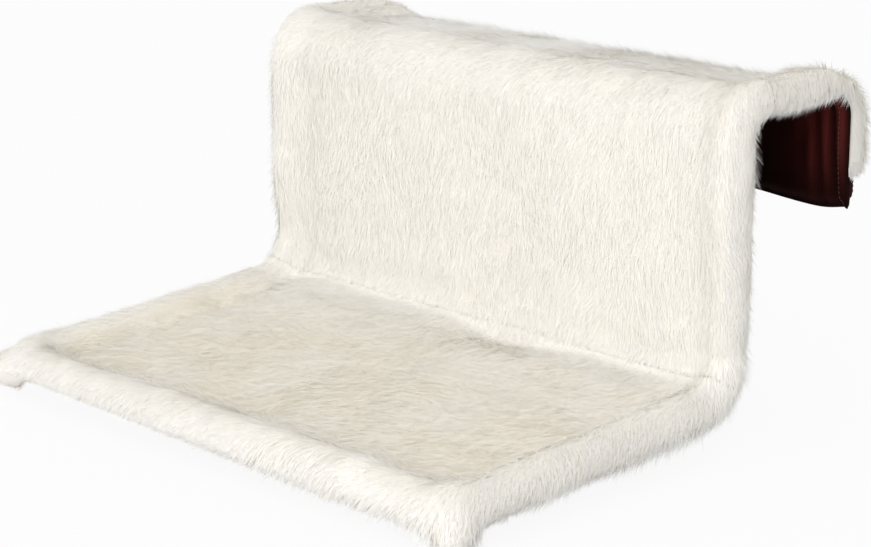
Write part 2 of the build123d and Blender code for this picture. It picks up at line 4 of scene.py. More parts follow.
import bpy
import numpy as np
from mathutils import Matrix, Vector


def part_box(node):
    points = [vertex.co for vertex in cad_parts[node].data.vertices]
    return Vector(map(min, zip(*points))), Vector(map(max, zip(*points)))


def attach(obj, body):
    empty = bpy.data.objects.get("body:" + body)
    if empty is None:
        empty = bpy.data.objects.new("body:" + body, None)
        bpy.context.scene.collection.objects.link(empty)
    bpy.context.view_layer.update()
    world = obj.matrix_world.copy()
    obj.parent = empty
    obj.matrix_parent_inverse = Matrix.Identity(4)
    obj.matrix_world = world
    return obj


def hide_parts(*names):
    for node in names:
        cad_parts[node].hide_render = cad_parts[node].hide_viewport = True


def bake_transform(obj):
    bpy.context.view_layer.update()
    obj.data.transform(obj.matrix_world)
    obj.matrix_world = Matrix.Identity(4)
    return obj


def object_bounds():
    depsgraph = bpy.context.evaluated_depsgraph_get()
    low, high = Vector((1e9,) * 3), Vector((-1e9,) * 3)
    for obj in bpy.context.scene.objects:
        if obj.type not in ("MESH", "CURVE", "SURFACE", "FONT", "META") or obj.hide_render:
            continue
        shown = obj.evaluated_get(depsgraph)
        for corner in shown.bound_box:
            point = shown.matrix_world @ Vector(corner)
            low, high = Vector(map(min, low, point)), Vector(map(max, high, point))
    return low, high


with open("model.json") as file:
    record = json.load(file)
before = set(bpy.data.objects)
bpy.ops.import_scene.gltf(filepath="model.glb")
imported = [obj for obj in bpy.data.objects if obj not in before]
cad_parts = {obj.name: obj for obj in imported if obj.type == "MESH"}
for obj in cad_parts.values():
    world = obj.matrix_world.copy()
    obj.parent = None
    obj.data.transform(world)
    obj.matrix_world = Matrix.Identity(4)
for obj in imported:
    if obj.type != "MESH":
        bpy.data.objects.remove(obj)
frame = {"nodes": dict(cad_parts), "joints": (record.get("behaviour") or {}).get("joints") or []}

import openvdb
from mathutils import Vector

# A cat hammock that hangs on a radiator: long pile plush over a tube frame, with a suede lining.
#
# Lengths are in metres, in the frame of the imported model. The cover is one strip of cloth that
# follows the tubes, so most places on it are given as x across, "along" from the foot of the
# hook, over the radiator, down the back and out to the front of the bed, and "out" from the
# tubes' centre lines towards the pile.

cad_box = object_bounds()

# The lie of the tubes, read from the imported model
_, tube_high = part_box("side_tube_right")
cross_low, cross_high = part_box("cross_tube")
hook_low, hook_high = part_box("hook_bow")
bow_low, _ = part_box("front_bow")
arch_lining_low, arch_lining_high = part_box("arch_lining")
screw_low, screw_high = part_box("lock_screw_right")
wadding_low, wadding_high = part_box("bed_wadding")
swing = next(joint for joint in frame["joints"] if joint["name"] == "zip_pull_swing")

TUBE_RADIUS = (cross_high.z - cross_low.z) / 2
SIDE_X = tube_high.x - TUBE_RADIUS
HOOK_RADIUS = hook_high.x - SIDE_X
BACK_Y = (cross_low.y + cross_high.y) / 2
ARCH_Z = hook_high.z - HOOK_RADIUS
HOOK_Y = hook_high.y - HOOK_RADIUS
HOOK_Z = hook_low.z + HOOK_RADIUS
FRONT_Y = bow_low.y + TUBE_RADIUS
FRONT_Z = bow_low.z + TUBE_RADIUS
DROOP = math.atan2(swing["axis"][2], swing["axis"][1])
BED_DEPTH = (BACK_Y - FRONT_Y) / math.cos(DROOP)
FOLD_Z = FRONT_Z + BED_DEPTH * math.sin(DROOP)
LINING_THICKNESS = arch_lining_high.z - arch_lining_low.z
LINING_FAR = -ARCH_Z
LINING_NEAR = LINING_FAR + LINING_THICKNESS
ARCH_BEND = 0.025
FOLD_BEND = 0.038
HOOK_CORNER = 0.025
FRONT_CORNER = 0.022
SEAM_Y = 0.0385
# Places along the cover that lie before its start and past its end
BEFORE_HOOK = -1.0
PAST_BED = 9.0

# Plush
VOXEL = 0.0022
PILE_LENGTH = 0.0125
BLADE_WIDTH = 0.0004
BLADES_PER_SQUARE_METRE = 1.1e6
MOST_BLADES = 62000
MOST_CELLS = 4096
BACKING_UNDER = 0.00015
PIECE_GAP = 0.0001
CLOTH_GAP = 0.0001
TUFT_SIZE = 0.0042
LOCK_SIZE = 0.011


# Where the cover runs

def bend_or_run(start, heading, length, bend=0.0):
    """One stretch of the cover's line: bend is its radius, below 0 where it turns to the right."""
    return {"start": start, "heading": heading, "length": length, "bend": bend}


def cover_stretches():
    """The tubes' line in the YZ plane, from the foot of the hook to the front of the bed."""
    bed_heading = math.pi + DROOP
    fold_turn = 1.5 * math.pi - bed_heading
    fold_run = FOLD_BEND * math.tan(fold_turn / 2)
    stretches = [
        bend_or_run((HOOK_Y, HOOK_Z), math.pi / 2, ARCH_Z - ARCH_BEND - HOOK_Z),
        bend_or_run((HOOK_Y, ARCH_Z - ARCH_BEND), math.pi / 2, ARCH_BEND * math.pi / 2, ARCH_BEND),
        bend_or_run((HOOK_Y - ARCH_BEND, ARCH_Z), math.pi, HOOK_Y - BACK_Y - 2 * ARCH_BEND),
        bend_or_run((BACK_Y + ARCH_BEND, ARCH_Z), math.pi, ARCH_BEND * math.pi / 2, ARCH_BEND),
        bend_or_run((BACK_Y, ARCH_Z - ARCH_BEND), 1.5 * math.pi, ARCH_Z - ARCH_BEND - FOLD_Z - fold_run),
        bend_or_run((BACK_Y, FOLD_Z + fold_run), 1.5 * math.pi, FOLD_BEND * fold_turn, -FOLD_BEND),
        bend_or_run(
            (BACK_Y - fold_run * math.cos(DROOP), FOLD_Z - fold_run * math.sin(DROOP)),
            bed_heading,
            BED_DEPTH - fold_run,
        ),
    ]
    along = 0.0
    for stretch in stretches:
        stretch["along"] = along
        along += stretch["length"]
    return stretches, along


STRETCHES, COVER_LENGTH = cover_stretches()
HOOK_TOP = STRETCHES[1]["along"]
ARCH_REAR = STRETCHES[2]["along"]
ARCH_FRONT = STRETCHES[3]["along"]
BACK_TOP = STRETCHES[4]["along"]
FOLD_START = STRETCHES[5]["along"]
BED_START = STRETCHES[6]["along"]
FOLD_MIDDLE = (FOLD_START + BED_START) / 2
OVER_ORIGIN = ARCH_REAR + HOOK_Y - ARCH_BEND
HOOK_SEAM = OVER_ORIGIN - SEAM_Y
BACK_SEAM = ARCH_FRONT + SEAM_Y + BACK_Y + ARCH_BEND


def on_cover(along, out=0.0):
    """Y and Z of points on the cover, and the heading of the cloth there."""
    along = np.asarray(along, float)
    y = np.zeros(along.shape)
    z = np.zeros(along.shape)
    heading = np.zeros(along.shape)
    for number, stretch in enumerate(STRETCHES):
        first = BEFORE_HOOK if number == 0 else stretch["along"]
        last = PAST_BED if number == len(STRETCHES) - 1 else stretch["along"] + stretch["length"]
        here = (along >= first) & (along <= last)
        step = along - stretch["along"]
        start_y, start_z = stretch["start"]
        angle = stretch["heading"]
        if stretch["bend"]:
            turned = angle + step / stretch["bend"]
            run_y = start_y + stretch["bend"] * (np.sin(turned) - math.sin(angle))
            run_z = start_z - stretch["bend"] * (np.cos(turned) - math.cos(angle))
        else:
            turned = np.full(along.shape, angle)
            run_y = start_y + step * math.cos(angle)
            run_z = start_z + step * math.sin(angle)
        y = np.where(here, run_y, y)
        z = np.where(here, run_z, z)
        heading = np.where(here, turned, heading)
    return y + out * np.sin(heading), z - out * np.cos(heading), heading


def cover_place(y, z):
    """How far along the cover points lie, how far out from it, and the heading of the cloth there."""
    nearest = np.full(y.shape, PAST_BED)
    along = np.zeros(y.shape)
    out = np.zeros(y.shape)
    heading = np.zeros(y.shape)
    for number, stretch in enumerate(STRETCHES):
        start_y, start_z = stretch["start"]
        angle = stretch["heading"]
        first = BEFORE_HOOK if number == 0 else 0.0
        last = PAST_BED if number == len(STRETCHES) - 1 else stretch["length"]
        if stretch["bend"]:
            bend = stretch["bend"]
            from_y = y - (start_y - bend * math.sin(angle))
            from_z = z - (start_z + bend * math.cos(angle))
            side = 1.0 if bend > 0 else -1.0
            turn = np.arctan2(from_z, from_y) - (angle - side * math.pi / 2)
            turn = (turn + math.pi) % (2 * math.pi) - math.pi
            step = turn * bend
            here_out = side * np.hypot(from_y, from_z) - bend
            here_heading = angle + np.clip(step, first, last) / bend
        else:
            from_y = y - start_y
            from_z = z - start_z
            step = from_y * math.cos(angle) + from_z * math.sin(angle)
            here_out = from_y * math.sin(angle) - from_z * math.cos(angle)
            here_heading = np.full(y.shape, angle)
        short = np.clip(step, first, last)
        miss = np.hypot(step - short, here_out)
        better = miss < nearest
        nearest = np.where(better, miss, nearest)
        along = np.where(better, stretch["along"] + short, along)
        out = np.where(better, here_out, out)
        heading = np.where(better, here_heading, heading)
    return along, out, heading


def outside_loop(x, along):
    """How far a point of the cover lies outside the loop of the tubes, below 0 inside it."""
    corner = np.where(along < COVER_LENGTH / 2, HOOK_CORNER, FRONT_CORNER)
    across = np.abs(x) - (SIDE_X - corner)
    past = np.abs(along - COVER_LENGTH / 2) - (COVER_LENGTH / 2 - corner)
    round_corner = np.hypot(np.maximum(across, 0), np.maximum(past, 0))
    return np.minimum(np.maximum(across, past), 0) + round_corner - corner


# Tools for soft forms

def between_points(values, low, part):
    """Values of a grid between its points: low numbers the point below, part is the way past it."""
    (i, a), (j, b), (k, c) = zip(low, part)
    total = 0.0
    for di, wi in ((0, 1 - a), (1, a)):
        for dj, wj in ((0, 1 - b), (1, b)):
            for dk, wk in ((0, 1 - c), (1, c)):
                total = total + wi * wj * wk * values[i + di, j + dj, k + dk]
    return total


LUMPS_MARGIN = 0.06


class Lumps:
    """Smooth random bumps between -1 and 1, of one size, the same on every run."""

    def __init__(self, size, seed):
        random = np.random.default_rng(seed)
        self.size = size
        self.start = np.array(cad_box[0]) - LUMPS_MARGIN
        cells = np.ceil((np.array(cad_box[1]) + LUMPS_MARGIN - self.start) / size).astype(int) + 3
        self.values = random.uniform(-1, 1, cells).astype(np.float32)

    def at(self, x, y, z):
        lows = []
        parts = []
        for value, start, count in zip((x, y, z), self.start, self.values.shape):
            place = np.clip((value - start) / self.size, 0, count - 2.001)
            low = np.floor(place).astype(np.int32)
            part = place - low
            lows.append(low)
            parts.append(part * part * (3 - 2 * part))
        return between_points(self.values, lows, parts)


def smooth_union(one, other, blend):
    share = np.clip(0.5 + 0.5 * (other - one) / blend, 0, 1)
    return other + (one - other) * share - blend * share * (1 - share)


def smooth_cut(one, other, blend):
    return -smooth_union(-one, -other, blend)


def ease(value, low, high):
    share = np.clip((value - low) / (high - low), 0, 1)
    return share * share * (3 - 2 * share)


def hump(value, middle, half_width):
    return np.exp(-(((value - middle) / half_width) ** 2))


def stay(value, rise, fall):
    """1 between two slopes and 0 outside them."""
    return ease(value, *rise) * (1 - ease(value, *fall))


def unit(vectors):
    return vectors / np.maximum(np.linalg.norm(vectors, axis=1, keepdims=True), 1e-12)


def mesh_from(name, points, faces):
    """A smooth mesh from arrays: faces has the same number of corners in each row."""
    mesh = bpy.data.meshes.new(name)
    points = np.asarray(points, np.float32)
    faces = np.asarray(faces, np.int32)
    count, corners = faces.shape
    mesh.vertices.add(len(points))
    mesh.vertices.foreach_set("co", points.ravel())
    mesh.loops.add(count * corners)
    mesh.loops.foreach_set("vertex_index", faces.ravel())
    mesh.polygons.add(count)
    mesh.polygons.foreach_set("loop_start", np.arange(0, count * corners, corners, dtype=np.int32))
    mesh.polygons.foreach_set("use_smooth", np.full(count, True))
    mesh.update(calc_edges=True)
    return mesh


def write_points(mesh, name, values, kind="FLOAT"):
    """Gives each point of a mesh its own value, or its own vector."""
    layer = mesh.attributes.new(name, kind, "POINT")
    field = "vector" if kind == "FLOAT_VECTOR" else "value"
    layer.data.foreach_set(field, values.astype(np.float32).ravel())


def place_object(name, mesh, material):
    made = bpy.data.objects.new(name, mesh)
    mesh.materials.append(material)
    bpy.context.scene.collection.objects.link(made)
    return made


# Materials

def new_material(name):
    material = bpy.data.materials.new(name)
    material.use_nodes = True
    nodes = material.node_tree.nodes
    return material, nodes, material.node_tree.links, nodes["Principled BSDF"]


def new_group(name, inputs, outputs):
    """A shader node group with named inputs, each (name, kind, value), and named outputs."""
    group = bpy.data.node_groups.new(name, "ShaderNodeTree")
    for label, kind, value in inputs:
        socket = group.interface.new_socket(name=label, in_out="INPUT", socket_type=kind)
        socket.default_value = value
    for label, kind in outputs:
        group.interface.new_socket(name=label, in_out="OUTPUT", socket_type=kind)
    start = group.nodes.new("NodeGroupInput")
    end = group.nodes.new("NodeGroupOutput")
    return group, group.nodes, group.links, start, end


def math_node(nodes, links, operation, first, second=None, third=None):
    node = nodes.new("ShaderNodeMath")
    node.operation = operation
    for slot, value in enumerate((first, second, third)):
        if isinstance(value, (int, float)):
            node.inputs[slot].default_value = value
        elif value is not None:
            links.new(value, node.inputs[slot])
    return node.outputs[0]


def mix_colours(nodes, links, share, one, other):
    node = nodes.new("ShaderNodeMix")
    node.data_type = "RGBA"
    for socket, value in ((node.inputs[0], share), (node.inputs[6], one), (node.inputs[7], other)):
        if isinstance(value, tuple):
            socket.default_value = (*value, 1)
        else:
            links.new(value, socket)
    return node.outputs[2]


def read_points(nodes, name):
    node = nodes.new("ShaderNodeAttribute")
    node.attribute_name = name
    return node.outputs["Fac"]


def set_inputs(node, **values):
    for label, value in values.items():
        node.inputs[label.replace("_", " ")].default_value = value


def noise_node(nodes, links, place, scale, detail, roughness):
    node = nodes.new("ShaderNodeTexNoise")
    set_inputs(node, Detail=detail, Roughness=roughness)
    if isinstance(scale, (int, float)):
        node.inputs["Scale"].default_value = scale
    else:
        links.new(scale, node.inputs["Scale"])
    links.new(place, node.inputs["Vector"])
    return node.outputs["Fac"]


def grain_group():
    """Fine grain: a mask that varies over a few grains and a height for the bump."""
    group, nodes, links, start, end = new_group(
        "fine_grain",
        [("Size", "NodeSocketFloat", 800.0), ("Patch Size", "NodeSocketFloat", 30.0)],
        [("Mask", "NodeSocketFloat"), ("Height", "NodeSocketFloat")],
    )
    place = nodes.new("ShaderNodeTexCoord").outputs["Object"]
    fine = noise_node(nodes, links, place, start.outputs["Size"], 4.0, 0.6)
    broad = noise_node(nodes, links, place, start.outputs["Patch Size"], 3.0, 0.55)
    less_fine = math_node(nodes, links, "MULTIPLY", fine, 0.3)
    both = math_node(nodes, links, "MULTIPLY_ADD", broad, 0.7, less_fine)
    links.new(both, end.inputs["Mask"])
    links.new(fine, end.inputs["Height"])
    return group


def weave_group():
    """Plain weave: two crossed waves, as a mask and as a height for the bump."""
    group, nodes, links, start, end = new_group(
        "plain_weave",
        [("Threads", "NodeSocketFloat", 1500.0)],
        [("Mask", "NodeSocketFloat"), ("Height", "NodeSocketFloat")],
    )
    place = nodes.new("ShaderNodeTexCoord").outputs["Object"]
    parts = nodes.new("ShaderNodeSeparateXYZ")
    links.new(place, parts.inputs[0])
    waves = []
    for axis in ("X", "Y"):
        turn = math_node(nodes, links, "MULTIPLY", parts.outputs[axis], start.outputs["Threads"])
        waves.append(math_node(nodes, links, "SINE", turn))
    crossed = math_node(nodes, links, "MULTIPLY", waves[0], waves[1])
    lifted = math_node(nodes, links, "MULTIPLY_ADD", crossed, 0.5, 0.5)
    links.new(lifted, end.inputs["Mask"])
    links.new(lifted, end.inputs["Height"])
    return group


FINE_GRAIN = grain_group()
PLAIN_WEAVE = weave_group()


def use_group(nodes, group, **values):
    node = nodes.new("ShaderNodeGroup")
    node.node_tree = group
    set_inputs(node, **values)
    return node


def bump(nodes, links, shader, height, distance):
    node = nodes.new("ShaderNodeBump")
    set_inputs(node, Distance=distance, Strength=1.0)
    links.new(height, node.inputs["Height"])
    links.new(node.outputs["Normal"], shader.inputs["Normal"])


def long_pile():
    """The plush's pile: creamy white, warmer and darker towards the roots, and from tuft to tuft."""
    material, nodes, links, shader = new_material("long_pile")
    tint = read_points(nodes, "tuft_tint")
    body = mix_colours(nodes, links, tint, (0.94, 0.90, 0.80), (0.97, 0.962, 0.945))
    root = mix_colours(nodes, links, tint, (0.925, 0.875, 0.765), (0.955, 0.94, 0.91))
    share = math_node(nodes, links, "POWER", read_points(nodes, "root_to_tip"), 0.6)
    links.new(mix_colours(nodes, links, share, root, body), shader.inputs["Base Color"])
    set_inputs(shader, Roughness=0.75, Specular_IOR_Level=0.2, Sheen_Weight=0.3, Sheen_Roughness=0.6)
    return material


def grained_cloth(name, dark, light, roughness, size, patch, depth):
    """Cloth of two colours that vary with its grain."""
    material, nodes, links, shader = new_material(name)
    grain = use_group(nodes, FINE_GRAIN, Size=size, Patch_Size=patch)
    colour = mix_colours(nodes, links, grain.outputs["Mask"], dark, light)
    links.new(colour, shader.inputs["Base Color"])
    set_inputs(shader, Roughness=roughness)
    bump(nodes, links, shader, grain.outputs["Height"], depth)
    return material


def brown_suede():
    """The lining: suede, near black as painted shade, lighter where its nap is brushed the other way, with a
    painted highlight in red brown on the crests of its folds.
    """
    material, nodes, links, shader = new_material("brown_suede")
    grain = use_group(nodes, FINE_GRAIN, Size=1600.0, Patch_Size=18.0)
    narrowed = nodes.new("ShaderNodeMapping")
    set_inputs(narrowed, Scale=(1.0, 0.35, 0.35))
    links.new(nodes.new("ShaderNodeTexCoord").outputs["Object"], narrowed.inputs["Vector"])
    brushed = noise_node(nodes, links, narrowed.outputs["Vector"], 26.0, 2.0, 0.45)
    contrast = nodes.new("ShaderNodeMapRange")
    set_inputs(contrast, From_Min=0.36, From_Max=0.68)
    links.new(brushed, contrast.inputs["Value"])
    lifted = math_node(nodes, links, "MULTIPLY", contrast.outputs[0], 0.14)
    # Painted highlight: the fold attribute brightens the crests of the folds to red brown
    crest_highlight = math_node(nodes, links, "POWER", read_points(nodes, "fold"), 1.6)
    lifted = math_node(nodes, links, "MULTIPLY_ADD", crest_highlight, 0.9, lifted)
    # The dark end is near black, darker than the suede itself, as painted shade inside the hook; the light
    # end is mostly the painted highlight, partly the brushed nap
    nap = mix_colours(nodes, links, lifted, (0.0045, 0.0018, 0.0020), (0.125, 0.022, 0.018))
    speck = math_node(nodes, links, "MULTIPLY", grain.outputs["Mask"], 0.35)
    colour = mix_colours(nodes, links, speck, nap, (0.004, 0.0015, 0.0015))
    links.new(colour, shader.inputs["Base Color"])
    set_inputs(shader, Roughness=0.9, Specular_IOR_Level=0.03, Sheen_Weight=0.04, Sheen_Roughness=0.4)
    set_inputs(shader, Sheen_Tint=(0.6, 0.2, 0.16, 1))
    bump(nodes, links, shader, grain.outputs["Height"], 0.0004)
    return material


def grained_finish(name, dark, light, roughness, metallic, size, depth):
    """Paint, plating or moulded plastic: its own colours, gloss and fine grain."""
    material, nodes, links, shader = new_material(name)
    grain = use_group(nodes, FINE_GRAIN, Size=size, Patch_Size=25.0)
    colour = mix_colours(nodes, links, grain.outputs["Mask"], dark, light)
    links.new(colour, shader.inputs["Base Color"])
    low, high = roughness
    gloss = math_node(nodes, links, "MULTIPLY_ADD", grain.outputs["Mask"], high - low, low)
    links.new(gloss, shader.inputs["Roughness"])
    set_inputs(shader, Metallic=metallic)
    bump(nodes, links, shader, grain.outputs["Height"], depth)
    return material


def woven_tape():
    material, nodes, links, shader = new_material("woven_tape")
    weave = use_group(nodes, PLAIN_WEAVE, Threads=5200.0)
    grain = use_group(nodes, FINE_GRAIN, Size=900.0, Patch_Size=35.0)
    warp = mix_colours(nodes, links, weave.outputs["Mask"], (0.010, 0.004, 0.004), (0.028, 0.010, 0.009))
    worn = math_node(nodes, links, "MULTIPLY", grain.outputs["Mask"], 0.4)
    colour = mix_colours(nodes, links, worn, warp, (0.012, 0.005, 0.005))
    links.new(colour, shader.inputs["Base Color"])
    set_inputs(shader, Roughness=0.85, Specular_IOR_Level=0.15)
    bump(nodes, links, shader, weave.outputs["Height"], 0.0003)
    return material


PILE = long_pile()
BACKING = grained_cloth("pile_backing", (0.90, 0.86, 0.77), (0.94, 0.915, 0.86), 0.95, 900.0, 45.0, 0.0006)
SUEDE = brown_suede()
WADDING = grained_cloth("bonded_wadding", (0.82, 0.82, 0.79), (0.93, 0.93, 0.91), 1.0, 500.0, 60.0, 0.001)
TAPE = woven_tape()
THREAD = grained_finish(
    "sewing_thread", (0.05, 0.02, 0.017), (0.11, 0.05, 0.042), (0.6, 0.8), 0.0, 2600.0, 0.0001
)
# The hard finishes and their CAD nodes: each has a name, its dark and light colours, roughness,
# metallic, and the size and depth of its grain
HARD_FINISHES = (
    (
        ("powder_coat", (0.70, 0.70, 0.69), (0.78, 0.78, 0.77), (0.42, 0.55), 0.0, 1400.0, 0.00012),
        ("side_tube_left", "side_tube_right", "front_bow", "cross_tube", "hook_bow"),
    ),
    (
        ("zinc_plate", (0.55, 0.56, 0.58), (0.68, 0.69, 0.71), (0.28, 0.45), 1.0, 700.0, 0.00004),
        ("joint_spigot_left", "joint_spigot_right", "cross_plugs", "cross_screws", "lock_nuts"),
    ),
    (
        ("nickel_plate", (0.66, 0.62, 0.52), (0.76, 0.72, 0.63), (0.2, 0.35), 1.0, 900.0, 0.00003),
        ("lock_screw_left", "lock_screw_right"),
    ),
    (
        ("moulded_nylon", (0.30, 0.30, 0.31), (0.37, 0.37, 0.38), (0.42, 0.55), 0.0, 1100.0, 0.00006),
        ("slide_bush_left", "slide_bush_right", "hook_glides"),
    ),
    (
        ("zip_lacquer", (0.10, 0.075, 0.06), (0.20, 0.16, 0.13), (0.3, 0.5), 0.9, 800.0, 0.00005),
        ("zip_slider", "zip_pull", "zip_stops"),
    ),
    (
        ("zip_coil_plastic", (0.045, 0.018, 0.015), (0.07, 0.03, 0.025), (0.35, 0.5), 0.0, 1500.0, 0.00004),
        ("zip_coils",),
    ),
)


# The plush body under the pile

HEM = 0.009
ROLL_STATIONS = (
    HEM, HEM + 0.004, HOOK_TOP, ARCH_REAR - 0.015, ARCH_REAR, HOOK_SEAM + 0.02, BACK_SEAM, COVER_LENGTH
)
ROLL_RADII = (0.0056, 0.0060, 0.0058, 0.0060, 0.0072, 0.0100, 0.0138, 0.0150)
PANEL_STATIONS = (
    HEM, HOOK_TOP, ARCH_REAR, HOOK_SEAM + 0.02, ARCH_FRONT,
    FOLD_START - 0.02, BED_START + 0.01, BED_START + 0.05,
)
PANEL_HEIGHTS = (0.0030, 0.0007, -0.0023, 0.0020, 0.0084, 0.0088, 0.0045, 0.0006)
CROWN_RUN = 0.07
BACK_CROWN = 0.0015
BED_CROWN = 0.0032
BACK_CREASE = 0.0016
BED_CREASE = 0.0022
# Waves across the plush at the fold: how high, how far past the fold's middle, and half width
FOLD_WAVES = ((-0.0032, 0.004, 0.009), (0.0024, -0.027, 0.014), (0.0020, 0.034, 0.016))
LEAST_ON_BACK = 0.0070
LEAST_ON_BED = -0.0028
LEAST_OVER_SCREW = 0.0076
# Room round the lock screws, as long as the cover's own travel over them
POCKET_Y = 0.009
POCKET_Z = 0.004
POCKET_HALF_WIDTH = 0.0068
POCKET_HALF_LENGTH = 0.0195
POCKET_HALF_HEIGHT = 0.0089
# Room for the hook's glides where they come out of the plush of the back
GLIDE_ROOM_RADIUS = 0.0066
GLIDE_ROOM_HALF_LENGTH = 0.0036
# The ears at the two front corners
EAR_ROOT_INSET = 0.006
EAR_ROOT_RADIUS = 0.0165
EAR_RADIUS = 0.0120
EAR_REACH = 0.0070
EAR_DROP = 0.0055
# Lumps in the plush: size, seed and height
PLUSH_LUMPS = ((0.042, 11, 0.0010), (0.019, 12, 0.0006), (0.009, 13, 0.00035))
BED_CORNER = BED_START - FOLD_BEND * math.tan((math.pi / 2 - DROOP) / 2)
WADDING_LOFT = 0.0022
WADDING_FIRST = BED_CORNER + (BACK_Y - wadding_high.y) / math.cos(DROOP)
WADDING_LAST = BED_CORNER + (BACK_Y - wadding_low.y) / math.cos(DROOP)
# The grid of the plush: its margin round the CAD box, how near to the tubes it is worked out, the
# value that stands for anywhere else, and how far from the skin its values count
FIELD_MARGIN = 0.012
FIELD_BAND = 0.026
FAR_OUTSIDE = 0.03
SKIN_BAND = 0.02


def panel_height(x, along, outside):
    """How far out the backing lies between the rolls: crowned, and drawn in beside them."""
    height = np.interp(along, PANEL_STATIONS, PANEL_HEIGHTS)
    on_bed = ease(along, BED_START, BED_START + 0.04)
    on_back = ease(along, ARCH_FRONT, BACK_TOP + 0.02) * (1 - on_bed)
    height = height + (BED_CROWN * on_bed + BACK_CROWN * on_back) * ease(-outside, 0.02, CROWN_RUN)
    left_side = 1 - ease(x, -0.05, 0.12)
    crease = hump(-outside, 0.0185 + 0.010 * left_side * on_back, 0.007)
    height = height - crease * (BACK_CREASE * on_back * left_side + BED_CREASE * on_bed)
    wander = 0.006 * np.sin(x * 21.0 + 0.6) + 0.004 * np.sin(x * 47.0)
    inside = ease(-outside, 0.0, 0.04)
    for rise, past_fold, half_width in FOLD_WAVES:
        height = height + rise * inside * hump(along, FOLD_MIDDLE + past_fold + wander, half_width)
    over_cross_tube = stay(along, (ARCH_FRONT, BACK_TOP), (FOLD_START - 0.03, FOLD_START))
    least = LEAST_ON_BED + (LEAST_ON_BACK - LEAST_ON_BED) * over_cross_tube
    first = OVER_ORIGIN - POCKET_Y - POCKET_HALF_LENGTH
    last = OVER_ORIGIN - POCKET_Y + POCKET_HALF_LENGTH
    over_screw = ease(np.abs(x), 0.170, 0.197) * stay(along, (first - 0.02, first), (last, last + 0.02))
    least = least + (LEAST_OVER_SCREW - least) * over_screw
    return np.maximum(height, least)


def plush_body(x, along, out):
    """How far points lie outside the smooth plush body, below 0 inside it."""
    outside = outside_loop(x, along)
    left_side = 1 - ease(x, -0.16, -0.03)
    before_front = 1 - ease(along, COVER_LENGTH - 0.07, COVER_LENGTH - 0.02)
    on_bed = ease(along, FOLD_START, BED_START + 0.02)
    left_bed = left_side * on_bed * before_front
    right_back = ease(x, 0.08, 0.17) * (1 - ease(along, FOLD_START - 0.03, FOLD_START + 0.02))
    radius = np.interp(along, ROLL_STATIONS, ROLL_RADII)
    tucked = hump(along, FOLD_START + 0.002 - 0.010 * left_side, 0.018)
    radius = radius - (0.0022 + 0.002 * left_side) * tucked
    radius = radius - 0.0009 * left_side * (1 - ease(along, ARCH_REAR - 0.01, ARCH_REAR))
    at_front = ease(along, COVER_LENGTH - 0.03, COVER_LENGTH - 0.01)
    radius = radius - 0.0026 * left_bed - 0.0024 * right_back - 0.0014 * left_side * at_front
    roll = np.hypot(outside, out) - radius
    panel = np.maximum(out - panel_height(x, along, outside), outside)
    body = smooth_union(roll, panel, 0.009 + 0.010 * right_back + 0.014 * left_bed)
    for side in (-1, 1):
        inner = np.sqrt(
            (x - side * (SIDE_X - EAR_ROOT_INSET)) ** 2
            + (along - COVER_LENGTH + EAR_ROOT_INSET) ** 2
            + (out + 0.001) ** 2
        )
        outer = np.sqrt(
            (x - side * (SIDE_X + EAR_REACH)) ** 2
            + (along - COVER_LENGTH - EAR_REACH) ** 2
            + (out + EAR_DROP) ** 2
        )
        ear = smooth_union(inner - EAR_ROOT_RADIUS, outer - EAR_RADIUS, 0.016)
        body = smooth_union(body, ear, 0.008)
    wrapped = ease(outside, 0.0015, 0.0045)
    over_corner = ease(outside, 0.009, 0.016) * ease(along, BED_START, COVER_LENGTH)
    floor = LINING_NEAR + BACKING_UNDER - (LINING_THICKNESS + CLOTH_GAP) * wrapped - 0.014 * over_corner
    floor = floor + (WADDING_LOFT + CLOTH_GAP) * wadding_cover(x, along)
    body = smooth_cut(body, floor - out, 0.0012)
    round_glide = np.hypot(outside, out) - GLIDE_ROOM_RADIUS
    glide_room = np.maximum(round_glide, np.abs(along - BACK_SEAM) - GLIDE_ROOM_HALF_LENGTH)
    return smooth_cut(body, -glide_room, 0.0003)


def wadding_cover(x, along):
    """1 over the wadding, falling to 0 at its feathered edges."""
    ends = np.minimum(along - WADDING_FIRST, WADDING_LAST - along)
    return ease(np.minimum(wadding_high.x - np.abs(x), ends), 0.0, 0.012)


def plush_lumps(x, y, z):
    """How far the plush stands proud of its smooth body: broad lumps and small ones."""
    return sum(height * Lumps(size, seed).at(x, y, z) for size, seed, height in PLUSH_LUMPS)


def cut_screw_pockets(body, x, y, z):
    """The plush body without the room round the lock screws."""
    middle_x = (screw_low.x + screw_high.x) / 2 - 0.002
    past_width = np.abs(np.abs(x) - middle_x) - POCKET_HALF_WIDTH
    past_length = np.abs(y - POCKET_Y) - POCKET_HALF_LENGTH
    past_height = np.abs(z - POCKET_Z) - POCKET_HALF_HEIGHT
    pocket = np.maximum(np.maximum(past_width, past_length), past_height)
    return smooth_cut(body, -pocket, 0.001)


def sample(field, start, points):
    """Values of a field between its grid points."""
    place = (points - start) / VOXEL
    low = np.clip(np.floor(place).astype(int), 0, np.array(field.shape) - 2)
    return between_points(field, low.T, (place - low).T)


